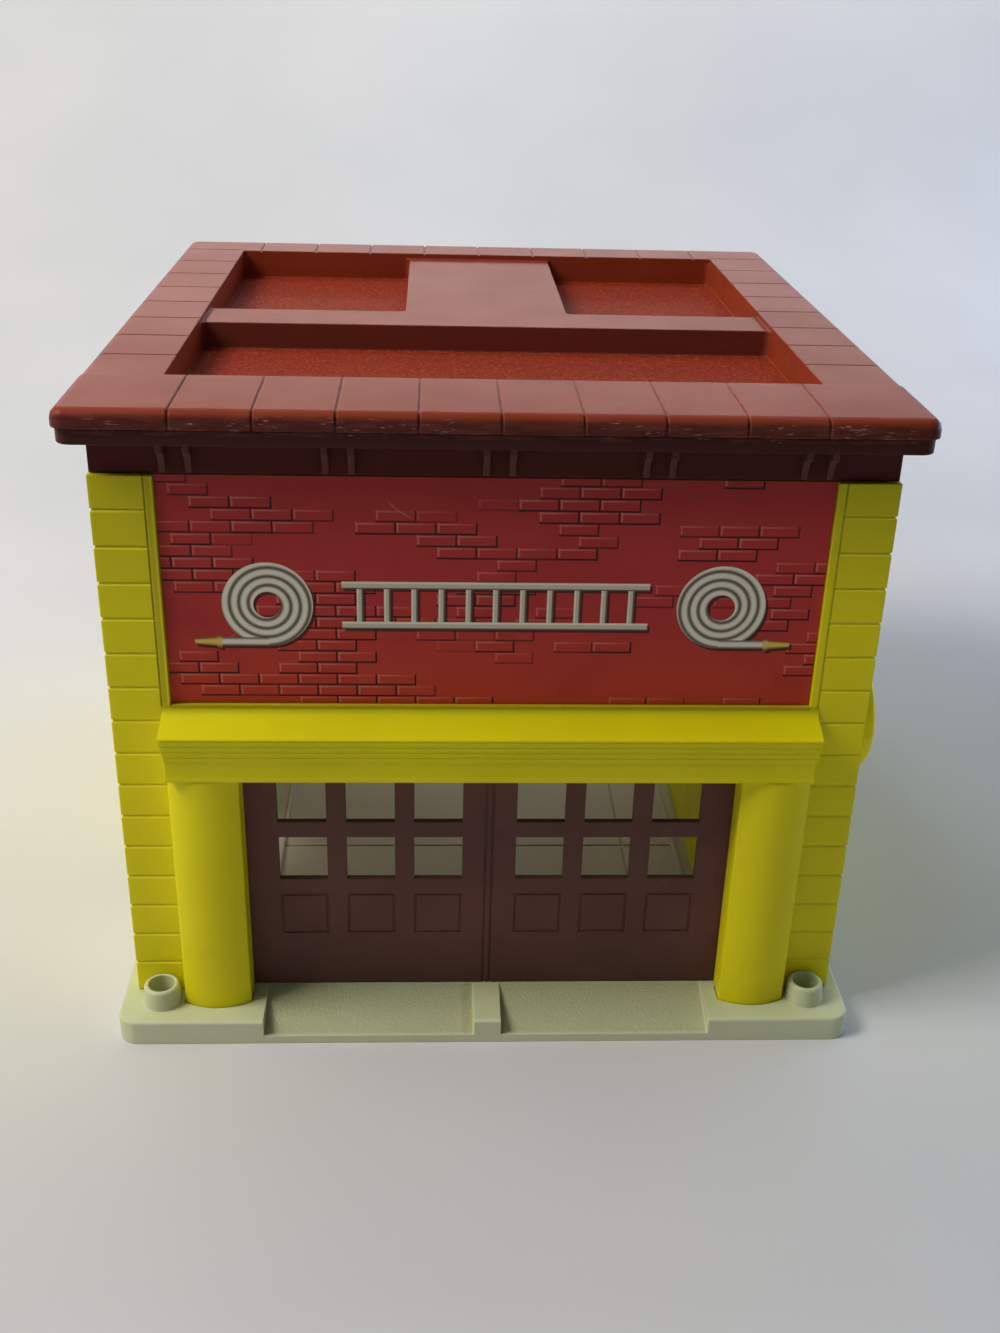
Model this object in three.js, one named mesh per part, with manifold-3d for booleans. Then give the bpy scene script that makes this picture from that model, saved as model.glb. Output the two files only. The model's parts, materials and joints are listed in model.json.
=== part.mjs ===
// Toy fire station: a moulded two-bay garage with an up-and-over door, an open back,
// an upper floor and an alarm bell that is rung by a dial on the right-hand wall.
// Millimetres, +Z up, the front faces -Y. Sizes below count Y from the front edge of the base;
// the whole station is then moved so that the origin lies under the middle of the base.
import * as THREE from "three";
import { mergeVertices } from "three/addons/utils/BufferGeometryUtils.js";
import Module from "manifold-3d";

const wasm = await Module();
wasm.setup();

// Clearances and counts shared by all pieces
const FIT_GAP = 0.3;
const GLUE_GAP = 0.1;
const CUT_OVERRUN = 1;
const ROUND_SIDES = 20;
const SCREW_SIDES = 10;
const BEVEL_STEPS = 3;

// Base tray
const BASE_WIDTH = 270;
const BASE_DEPTH = 300;
const BASE_HEIGHT = 9.8;
const BASE_CORNER_RADIUS = 7;
const BASE_EDGE_ROUND = 1;
const BASE_SKIN = 2.6;
const BASE_RIM = 2.8;
const BASE_RIB = 2.4;
const POCKET_COLUMNS = 4;
const POCKET_ROWS = 4;
const FOOT_PAD_RADIUS = 14;
const KERB_HALF_WIDTH = 5;
const DRIVE_SIDE_STEP = 5.5;
const RAMP_LIP = 3.4;
const LANE_GROOVE_WIDTH = 1;
const LANE_GROOVE_DEPTH = 0.6;
const LANE_SIDE_INSET = 24.3;
const LANE_CROSS_Y = 117;
const CURB_INSET = 5.4;
const CURB_WIDTH = 2;
const CURB_HEIGHT = 1.2;
const CURB_FRONT_Y = 42;

// Accessory sockets on the front corners of the base
const SOCKET_END_INSET = 15;
const SOCKET_Y = 13;
const SOCKET_HEIGHT = 7.7;
const SOCKET_FOOT_RADIUS = 7;
const SOCKET_TOP_RADIUS = 6.4;
const SOCKET_BORE_RADIUS = 4.8;
const SOCKET_BORE_DEPTH = 11.5;
const SOCKET_LIP_ROUND = 0.7;

// Walls
const BASE_SIDE_APRON = 5;
const BASE_BACK_APRON = 4;
const WALL_FRONT_Y = 19;
const WALL_SKIN = 2.6;
const PIER_WIDTH = 17.5;
const PIER_RETURN = 20;
const PIER_RELIEF = 1;
const TONGUE_REACH = 2.3;
const TONGUE_ROOT = 3.5;
const QUOIN_PITCH = 12.65;
const TOP_QUOIN_HEIGHT = 11;
const QUOIN_GROOVE_DEPTH = 0.7;
const QUOIN_GROOVE_HEIGHT = 1.3;
const LEDGE_WIDTH = 4.4;
const LEDGE_HEIGHT = 4;

// Arched side doorway in the left wall
const ARCH_FRONT_INSET = 88;
const ARCH_WIDTH = 36;
const ARCH_SPRING_HEIGHT = 37.9;
const ARCH_TRIM_WIDTH = 2.4;
const ARCH_TRIM_RELIEF = 0.8;
const ARCH_SIDES = 10;

// Front wall and sign
const FRONT_PLATE = 2.9;
const FRONT_BACKING = 2.1;
const BACKING_ABOVE_SLOT = 2;
const DOORWAY_HEIGHT = 96.2;
const BARREL_SLOT_HEIGHT = 11;
const SIGN_SIDE_MARGIN = 3.2;
const SIGN_HEIGHT = 80.9;
const SIGN_FOOT_GAP = 0.4;
const SIGN_SHEET = 0.6;
const SIGN_SETBACK = 1.6;

// Canopy over the doorway
const CANOPY_END_LAP = 0.1;
const CANOPY_FASCIA_Y = 8.5;
const CANOPY_RIDGE_Y = 7;
const CANOPY_RIDGE_HEIGHT = 17.3;
const CANOPY_DROP = 1.8;
const CANOPY_RIB_COUNT = 4;
const CANOPY_RIB_PITCH = 1.75;
const CANOPY_RIB_RELIEF = 0.5;
const CANOPY_BAND_HEIGHT = 8;
const CANOPY_HEIGHT = 21.6;
const CANOPY_COVE_RADIUS = 2.4;
const CANOPY_BEAD = 0.5;
const SOFFIT_REACH = 1.5;
const SOFFIT_THICKNESS = 1.7;

// Columns beside the doorway
const COLUMN_WIDTH = 24.2;
const COLUMN_FRONT_Y = 8.5;
const COLUMN_BOW = 3.6;
const COLUMN_SEAT_DEPTH = 1.2;
const COLUMN_BOW_STEPS = 8;
const COLUMN_SIDE_GAP = 1;

// Garage door
const DOOR_SIDE_LAP = 2.1;
const DOOR_FRONT_Y = 22.4;
const DOOR_THICKNESS = 2.5;
const DOOR_AXIS_RISE = 4;
const DOOR_BARREL_RADIUS = 2.9;
const DOOR_ROD_RADIUS = 1.5;
const WINDOW_WIDTH = 17.4;
const WINDOW_HEIGHT = 17.8;
const WINDOW_FIRST_X = 9.7;
const WINDOW_SIDE_MARGIN = 11.4;
const WINDOW_DROP = 48.9;
const WINDOW_PITCH_Z = 24.3;
const WINDOW_COLUMNS = 3;
const WINDOW_ROWS = 2;
const PANEL_DROP = 24;
const PANEL_HEIGHT = 17.5;
const PANEL_GROOVE = 0.9;
const PANEL_GROOVE_DEPTH = 0.5;
const MEETING_STRIP_WIDTH = 1.5;
const LUG_WIDTH = 4;
const LUG_HALF_HEIGHT = 5;
const LUG_BACK_REACH = 4.4;

// Upper floor
const DECK_RISE = 17.8;
const DECK_SKIN = 2.6;
const DECK_SETBACK = 8;
const DECK_LIP_DROP = 6;
const DECK_LIP_WIDTH = 3;

// Alarm dial, its shaft and the bell behind the right-hand wall
const DIAL_Y = 53;
const DIAL_HEIGHT = 101.2;
const DIAL_RADIUS = 20.5;
const DIAL_THICKNESS = 8;
const DIAL_STANDOFF = 1;
const DIAL_ROUND = 2.6;
const DIAL_DISH_RADIUS = 15;
const DIAL_DISH_DEPTH = 2.4;
const DIAL_GRIP_WIDTH = 6;
const DIAL_SHAFT_SOCKET = 5;
const SHAFT_RADIUS = 2.5;
const SHAFT_INSIDE_REACH = 19;
const WALL_BUSH_RADIUS = 5.6;
const WALL_BUSH_LENGTH = 5.4;
const CLIP_RADIUS = 4.6;
const CLIP_WIDTH = 1.2;
const CLIP_RUNNING_GAP = 0.5;
const CARRIER_OVERREACH = 0.2;
const CARRIER_THICKNESS = 2;
const CARRIER_END_RADIUS = 3.4;
const STRIKER_PIN_REACH = 9;
const STRIKER_PIN_RADIUS = 1;
const STRIKER_PIN_HEAD_RADIUS = 1.9;
const STRIKER_PIN_HEAD = 0.8;
const STRIKER_THICKNESS = 2;
const STRIKER_ARM = 6;
const STRIKER_WEIGHT_RADIUS = 3;
const STRIKER_EYE_RADIUS = 2.3;
const STRIKER_SIDE_GAP = 0.4;
const STRIKER_FOLDED_DEGREES = 150;
const STRIKER_THROWN_DEGREES = 75;
const GONG_RIM_RADIUS = 19;
const GONG_RIM_INSET = 13.4;
const GONG_DEPTH = 15;
const GONG_SKIN = 1;
const GONG_FLARE = 1;
const GONG_CURVE_STEPS = 6;
const GONG_HOLE_RADIUS = 1.8;

// Bell housing with the low bench moulded behind it
const HOUSING_REACH = 35.4;
const HOUSING_SKIN = 2;
const HOUSING_FRONT_INSET = 9.4;
const HOUSING_BEHIND_DIAL = 68;
const HOUSING_ABOVE_DIAL = 26;
const BENCH_LENGTH = 49;
const BENCH_HEIGHT = 29.9;
const GONG_POST_RADIUS = 4;

// Screws and the bosses that take them
const SCREW_RADIUS = 1.4;
const SCREW_HEAD_RADIUS = 2.8;
const SCREW_HEAD_HEIGHT = 2.2;
const BASE_SCREW_LENGTH = 20;
const BASE_SCREW_SIDE_INSET = 5;
const FRONT_SCREW_INSET = 17;
const BACK_SCREW_INSET = 15;
const WALL_BOSS_SIZE = 9;
const WALL_BOSS_HEIGHT = 23.9;
const ROOF_SCREW_LENGTH = 14;
const ROOF_TAB_THICKNESS = 3;
const ROOF_TAB_DROP = 10.3;
const ROOF_BOSS_RADIUS = 4;
const GONG_SCREW_LENGTH = 5;

// Roof: coping, trays and the skirt below them
const ROOF_SIDE_OVERHANG = 8.3;
const ROOF_FRONT_OVERHANG = 8.4;
const ROOF_BACK_OVERHANG = 8.3;
const COPING_THICKNESS = 5.5;
const COPING_CORNER_RADIUS = 5;
const COPING_ROUND_IN = 3.6;
const COPING_ROUND_DOWN = 3.6;
const FRONT_ROW_DEPTH = 42.3;
const BACK_ROW_DEPTH = 25;
const FRONT_ROW_RISE = 0.6;
const CORNER_BLOCK_WIDTH = 36.3;
const FRONT_BLOCKS = 8;
const SIDE_BLOCKS = 8;
const COPING_GROOVE_WIDTH = 0.8;
const COPING_GROOVE_DEPTH = 0.5;
const TRAY_SIDE_SPACE = 11.9;
const TRAY_FRONT_MARGIN = 1.5;
const TRAY_DEPTH = 12.1;
const TRAY_SKIN = 2.2;
const TRAY_CORNER_RADIUS = 2.5;
const FRONT_TRAY_LENGTH = 86.6;
const BAR_LENGTH = 24;
const BAR_DROP = 2.1;
const PANEL_HALF_WIDTH = 32.3;
const SLAB_SETBACK = 1;
const SLAB_THICKNESS = 5;
const FRIEZE_HEIGHT = 12;
const SLAB_SHELF = 1.6;
const FRIEZE_FRONT_INSET = 1.8;
const FRIEZE_SIDE_INSET = 0.5;
const LIP_DROP = 4.6;
const LIP_SKIN = 2;
const BRACKET_PAIRS = 5;
const BRACKET_SPACING = 8.3;
const BRACKET_WIDTH = 2.2;
const BRACKET_REACH = 6;
const BRACKET_HEIGHT = 11;
const BRACKET_NOSE = 3.4;

// Places that follow from the sizes above
const BODY_HALF = BASE_WIDTH / 2 - BASE_SIDE_APRON;
const WALL_BACK_Y = BASE_DEPTH - BASE_BACK_APRON;
const PIER_INNER_X = BODY_HALF - PIER_WIDTH;
const SHEET_OUTER_X = BODY_HALF - PIER_RELIEF;
const SHEET_INNER_X = SHEET_OUTER_X - WALL_SKIN;
const FLANGE_BACK_Y = WALL_FRONT_Y + WALL_SKIN;
const TONGUE_FRONT_Y = WALL_FRONT_Y + FRONT_PLATE + FIT_GAP;
const TONGUE_BACK_Y = TONGUE_FRONT_Y + FRONT_BACKING;
const TONGUE_INNER_X = PIER_INNER_X - TONGUE_REACH;
const WALL_FOOT_Z = BASE_HEIGHT + FIT_GAP;
const DOORWAY_TOP_Z = BASE_HEIGHT + DOORWAY_HEIGHT;
const BARREL_SLOT_TOP_Z = DOORWAY_TOP_Z + BARREL_SLOT_HEIGHT;
const BACKING_BOTTOM_Z = BARREL_SLOT_TOP_Z + BACKING_ABOVE_SLOT;
const CANOPY_BAND_TOP_Z = DOORWAY_TOP_Z + CANOPY_BAND_HEIGHT;
const CANOPY_RIDGE_Z = DOORWAY_TOP_Z + CANOPY_RIDGE_HEIGHT;
const CANOPY_TOP_Z = DOORWAY_TOP_Z + CANOPY_HEIGHT;
const SIGN_BOTTOM_Z = CANOPY_TOP_Z + CANOPY_COVE_RADIUS + SIGN_FOOT_GAP;
const SIGN_TOP_Z = SIGN_BOTTOM_Z + SIGN_HEIGHT;
const WALL_TOP_Z = SIGN_TOP_Z;
const ARCH_SPRING_Z = WALL_FOOT_Z + ARCH_SPRING_HEIGHT;
const DOOR_BOTTOM_Z = BASE_HEIGHT + FIT_GAP;
const DOOR_AXIS_Z = DOORWAY_TOP_Z + DOOR_AXIS_RISE;
const WINDOW_BOTTOM_Z = DOORWAY_TOP_Z - WINDOW_DROP;
const PANEL_BOTTOM_Z = WINDOW_BOTTOM_Z - PANEL_DROP;
const DECK_BOTTOM_Z = DOORWAY_TOP_Z + DECK_RISE;
const DIAL_Z = BASE_HEIGHT + DIAL_HEIGHT;
const HOUSING_TOP_Z = DIAL_Z + HOUSING_ABOVE_DIAL;
const BENCH_TOP_Z = WALL_FOOT_Z + BENCH_HEIGHT;
const WALL_BOSS_TOP_Z = WALL_FOOT_Z + WALL_BOSS_HEIGHT;
const ROOF_TAB_TOP_Z = WALL_TOP_Z - ROOF_TAB_DROP;
const SLAB_BOTTOM_Z = WALL_TOP_Z + FRIEZE_HEIGHT;
const SLAB_TOP_Z = SLAB_BOTTOM_Z + SLAB_THICKNESS;
const COPING_BOTTOM_Z = SLAB_TOP_Z + FIT_GAP;
const COPING_TOP_Z = COPING_BOTTOM_Z + COPING_THICKNESS;
const TRAY_FLOOR_Z = COPING_TOP_Z - TRAY_DEPTH;
const BAR_TOP_Z = COPING_TOP_Z - BAR_DROP;
const ARCH_CENTER_Y = WALL_FRONT_Y + ARCH_FRONT_INSET;
const DOORWAY_HALF_WIDTH = PIER_INNER_X - COLUMN_SIDE_GAP - COLUMN_WIDTH;
const DRIVE_OUTER_X = DOORWAY_HALF_WIDTH - DRIVE_SIDE_STEP;
const LANE_X = DOORWAY_HALF_WIDTH - LANE_SIDE_INSET;
const COLUMN_X = DOORWAY_HALF_WIDTH + COLUMN_WIDTH / 2;
const SOCKET_X = BASE_WIDTH / 2 - SOCKET_END_INSET;
const SIGN_HALF_WIDTH = PIER_INNER_X - SIGN_SIDE_MARGIN;
const CANOPY_HALF_WIDTH = PIER_INNER_X + CANOPY_END_LAP;
const CANOPY_BACK_Y = WALL_FRONT_Y - FIT_GAP;
const DOOR_HALF_WIDTH = DOORWAY_HALF_WIDTH + DOOR_SIDE_LAP;
const DOOR_AXIS_Y = DOOR_FRONT_Y + DOOR_THICKNESS / 2;
const RAMP_BACK_Y = DOOR_FRONT_Y;
const WINDOW_SPAN_X = DOORWAY_HALF_WIDTH - WINDOW_SIDE_MARGIN - WINDOW_WIDTH - WINDOW_FIRST_X;
const WINDOW_PITCH_X = WINDOW_SPAN_X / (WINDOW_COLUMNS - 1);
const DECK_BACK_Y = WALL_BACK_Y - DECK_SETBACK;
const HOUSING_FACE_X = SHEET_INNER_X - HOUSING_REACH;
const HOUSING_FRONT_Y = WALL_FRONT_Y + HOUSING_FRONT_INSET;
const HOUSING_BACK_Y = DIAL_Y + HOUSING_BEHIND_DIAL;
const BENCH_BACK_Y = HOUSING_BACK_Y + BENCH_LENGTH;
const CURB_X = HOUSING_FACE_X - CURB_INSET;
const SCREW_HOLE_RADIUS = SCREW_RADIUS + FIT_GAP;
const BASE_SCREW_X = SHEET_INNER_X - BASE_SCREW_SIDE_INSET;
const FRONT_SCREW_Y = WALL_FRONT_Y + FRONT_SCREW_INSET;
const BACK_SCREW_Y = WALL_BACK_Y - BACK_SCREW_INSET;
const MIDDLE_SCREW_Y = (FRONT_SCREW_Y + BACK_SCREW_Y) / 2;
const COPING_HALF_WIDTH = BODY_HALF + ROOF_SIDE_OVERHANG;
const COPING_FRONT_Y = WALL_FRONT_Y - ROOF_FRONT_OVERHANG;
const COPING_BACK_Y = WALL_BACK_Y + ROOF_BACK_OVERHANG;
const FRONT_ROW_BACK_Y = COPING_FRONT_Y + FRONT_ROW_DEPTH;
const BACK_ROW_FRONT_Y = COPING_BACK_Y - BACK_ROW_DEPTH;
const COPING_BLOCK_PITCH = 2 * (COPING_HALF_WIDTH - CORNER_BLOCK_WIDTH) / FRONT_BLOCKS;
const SIDE_BLOCK_PITCH = (BACK_ROW_FRONT_Y + TRAY_FRONT_MARGIN - FRONT_ROW_BACK_Y) / SIDE_BLOCKS;
const LIP_OUTER_X = SHEET_INNER_X - FIT_GAP;
const LIP_FRONT_Y = TONGUE_BACK_Y + FIT_GAP;
const LIP_BACK_Y = WALL_BACK_Y - WALL_SKIN - FIT_GAP;
const TRAY_HALF_WIDTH = LIP_OUTER_X - LIP_SKIN - TRAY_SKIN - TRAY_SIDE_SPACE;
const TRAY_FRONT_Y = FRONT_ROW_BACK_Y + TRAY_FRONT_MARGIN;
const TRAY_BACK_Y = BACK_ROW_FRONT_Y;
const BAR_FRONT_Y = TRAY_FRONT_Y + FRONT_TRAY_LENGTH;
const BAR_BACK_Y = BAR_FRONT_Y + BAR_LENGTH;
const ROOF_SCREW_X = LIP_OUTER_X - LIP_SKIN - TRAY_SIDE_SPACE / 2;
const ROOF_BACK_SCREW_Y = (TRAY_BACK_Y + TRAY_SKIN + LIP_BACK_Y - LIP_SKIN) / 2;
const DIAL_BACK_X = BODY_HALF + DIAL_STANDOFF;
const SHAFT_INNER_X = SHEET_INNER_X - SHAFT_INSIDE_REACH;
const CARRIER_X = SHAFT_INNER_X - CARRIER_OVERREACH;
const GONG_RIM_X = SHEET_INNER_X - GONG_RIM_INSET;
const GONG_CROWN_X = GONG_RIM_X - GONG_DEPTH;
const DIAL_FACE_X = DIAL_BACK_X + DIAL_THICKNESS;

// Plain colours
const sageGrey = new THREE.MeshStandardMaterial({ color: 0x8f9588, roughness: 0.6, metalness: 0 });
const lemonYellow = new THREE.MeshStandardMaterial({ color: 0xd6cf10, roughness: 0.45, metalness: 0 });
const maroon = new THREE.MeshStandardMaterial({ color: 0x6b2a2c, roughness: 0.5, metalness: 0 });
const doorMaroon = new THREE.MeshStandardMaterial({ color: 0x4c2528, roughness: 0.5, metalness: 0 });
const printedSheet = new THREE.MeshStandardMaterial({ color: 0xa02828, roughness: 0.4, metalness: 0 });
const steel = new THREE.MeshStandardMaterial({ color: 0xb8bcc0, roughness: 0.3, metalness: 1 });

// Turns a closed three.js geometry into a solid with merged corners and its faces pointing out.
function solidFrom(geometry) {
  const bare = geometry.clone();
  bare.deleteAttribute("normal");
  bare.deleteAttribute("uv");
  const merged = mergeVertices(bare);
  const corners = Float32Array.from(merged.attributes.position.array);
  const faces = Uint32Array.from(merged.index.array);
  const solid = new wasm.Manifold(new wasm.Mesh({ numProp: 3, vertProperties: corners, triVerts: faces }));
  if (solid.volume() >= 0) return solid;
  for (let i = 0; i < faces.length; i += 3) faces.subarray(i, i + 2).reverse();
  return new wasm.Manifold(new wasm.Mesh({ numProp: 3, vertProperties: corners, triVerts: faces }));
}

function geometryFrom(solid) {
  const mesh = solid.getMesh();
  const corners = new Float32Array((mesh.vertProperties.length / mesh.numProp) * 3);
  for (let i = 0; i < corners.length / 3; i += 1) {
    for (let axis = 0; axis < 3; axis += 1) {
      corners[3 * i + axis] = mesh.vertProperties[mesh.numProp * i + axis];
    }
  }
  const geometry = new THREE.BufferGeometry();
  geometry.setAttribute("position", new THREE.BufferAttribute(corners, 3));
  geometry.setIndex(new THREE.BufferAttribute(Uint32Array.from(mesh.triVerts), 1));
  geometry.computeVertexNormals();
  return geometry;
}

const join = (...solids) => solids.flat().reduce((whole, next) => whole.add(next));
const cut = (whole, ...tools) => tools.flat().reduce((rest, tool) => rest.subtract(tool), whole);

// A box between two values on each axis, given in either order.
function block(x0, x1, y0, y1, z0, z1) {
  const box = new THREE.BoxGeometry(Math.abs(x1 - x0), Math.abs(y1 - y0), Math.abs(z1 - z0));
  return solidFrom(box.translate((x0 + x1) / 2, (y0 + y1) / 2, (z0 + z1) / 2));
}

// A flat outline from a list of [across, up] points.
const outline = (points) => new THREE.Shape(points.map(([across, up]) => new THREE.Vector2(across, up)));

// A solid skinned over level rings of equally many corners, from the lowest ring to the highest
function stackOf(rings) {
  const sides = rings[0].length;
  const faces = [];
  for (let ring = 0; ring + 1 < rings.length; ring += 1) {
    for (let i = 0; i < sides; i += 1) {
      const here = ring * sides + i;
      const beside = ring * sides + (i + 1) % sides;
      faces.push(here, beside, beside + sides, here, beside + sides, here + sides);
    }
  }
  const topRing = (rings.length - 1) * sides;
  for (let i = 1; i + 1 < sides; i += 1) {
    faces.push(0, i + 1, i, topRing, topRing + i, topRing + i + 1);
  }
  const geometry = new THREE.BufferGeometry();
  geometry.setAttribute("position", new THREE.Float32BufferAttribute(rings.flat(2), 3));
  geometry.setIndex(faces);
  return solidFrom(geometry);
}

// An outline in (x, y) carried up from z0 to z1.
function towerOf(shape, z0, z1, curveSegments = ARCH_SIDES) {
  const options = { depth: z1 - z0, bevelEnabled: false, curveSegments };
  return solidFrom(new THREE.ExtrudeGeometry(shape, options).translate(0, 0, z0));
}

// An outline in (y, z) carried along X between x0 and x1.
function beamOf(shape, x0, x1, curveSegments = ARCH_SIDES) {
  const options = { depth: Math.abs(x1 - x0), bevelEnabled: false, curveSegments };
  const geometry = new THREE.ExtrudeGeometry(shape, options);
  const turn = new THREE.Matrix4().makeBasis(
    new THREE.Vector3(0, 1, 0),
    new THREE.Vector3(0, 0, 1),
    new THREE.Vector3(1, 0, 0),
  );
  return solidFrom(geometry.applyMatrix4(turn).translate(Math.min(x0, x1), 0, 0));
}

// A turned piece on an axis along X through (y, z); points are [radius, x] from one end to the other.
function turnedOnX(points, y, z, sides = ROUND_SIDES) {
  const profile = points.map(([radius, x]) => new THREE.Vector2(radius, x));
  const geometry = new THREE.LatheGeometry(profile, sides).rotateZ(-Math.PI / 2);
  return solidFrom(geometry.translate(0, y, z));
}

// A turned piece on an upright axis through (x, y); points are [radius, z].
function turnedOnZ(points, x, y, sides = ROUND_SIDES) {
  const profile = points.map(([radius, z]) => new THREE.Vector2(radius, z));
  const geometry = new THREE.LatheGeometry(profile, sides).rotateX(Math.PI / 2);
  return solidFrom(geometry.translate(x, y, 0));
}

const rodOnX = (radius, x0, x1, y, z, sides) =>
  turnedOnX([[0, x0], [radius, x0], [radius, x1], [0, x1]], y, z, sides);
const rodOnZ = (radius, z0, z1, x, y, sides) =>
  turnedOnZ([[0, z0], [radius, z0], [radius, z1], [0, z1]], x, y, sides);

// A rectangle in (x, y) with rounded corners.
function roundedRectangle(x0, x1, y0, y1, radius) {
  const shape = new THREE.Shape();
  shape.moveTo(x0 + radius, y0);
  shape.lineTo(x1 - radius, y0);
  shape.absarc(x1 - radius, y0 + radius, radius, -Math.PI / 2, 0, false);
  shape.lineTo(x1, y1 - radius);
  shape.absarc(x1 - radius, y1 - radius, radius, 0, Math.PI / 2, false);
  shape.lineTo(x0 + radius, y1);
  shape.absarc(x0 + radius, y1 - radius, radius, Math.PI / 2, Math.PI, false);
  shape.lineTo(x0, y0 + radius);
  shape.absarc(x0 + radius, y0 + radius, radius, Math.PI, 1.5 * Math.PI, false);
  return shape;
}

// A slab with square lower edges and rounded upper edges; roundIn and roundDown size the rounding.
function slabWithRoundTop(shape, z0, z1, roundIn, roundDown) {
  const options = {
    depth: z1 - z0,
    bevelThickness: roundDown,
    bevelSize: roundIn,
    bevelOffset: -roundIn,
    bevelSegments: BEVEL_STEPS,
    curveSegments: BEVEL_STEPS,
  };
  const geometry = new THREE.ExtrudeGeometry(shape, options).translate(0, 0, z0 - roundDown);
  const reach = BASE_WIDTH + BASE_DEPTH;
  const below = block(-reach, reach, -reach, reach, z0 - 2 * roundDown - CUT_OVERRUN, z0);
  return cut(solidFrom(geometry), below);
}

// A flat pan-head screw on an upright axis: head at headZ, shank upwards.
function uprightScrew(x, y, headZ, length) {
  const neckZ = headZ + SCREW_HEAD_HEIGHT;
  const points = [
    [0, headZ],
    [SCREW_HEAD_RADIUS, headZ],
    [SCREW_HEAD_RADIUS, neckZ],
    [SCREW_RADIUS, neckZ],
    [SCREW_RADIUS, headZ + length - SCREW_RADIUS],
    [0, headZ + length],
  ];
  return turnedOnZ(points, x, y, SCREW_SIDES);
}

const screwHoleOnZ = (x, y, z0, z1) => rodOnZ(SCREW_HOLE_RADIUS, z0, z1, x, y, SCREW_SIDES);

const baseScrewPlaces = [-1, 1].flatMap((side) =>
  [FRONT_SCREW_Y, MIDDLE_SCREW_Y, BACK_SCREW_Y].map((y) => [side * BASE_SCREW_X, y]));
const roofScrewPlaces = [-1, 1].flatMap((side) =>
  [FRONT_SCREW_Y, ROOF_BACK_SCREW_Y].map((y) => [side * ROOF_SCREW_X, y]));

// Outline of a column, grown by margin: flat sides, a gently bowed front and its back on the front wall
function columnOutline(centerX, margin, backY) {
  const half = COLUMN_WIDTH / 2 + margin;
  const radius = (half * half + COLUMN_BOW * COLUMN_BOW) / (2 * COLUMN_BOW);
  const lean = Math.asin(half / radius);
  const centerY = COLUMN_FRONT_Y - margin + radius;
  const shape = new THREE.Shape();
  shape.moveTo(centerX + half, backY);
  shape.lineTo(centerX - half, backY);
  shape.absarc(centerX, centerY, radius, -Math.PI / 2 - lean, lean - Math.PI / 2, false);
  shape.closePath();
  return shape;
}

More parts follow.
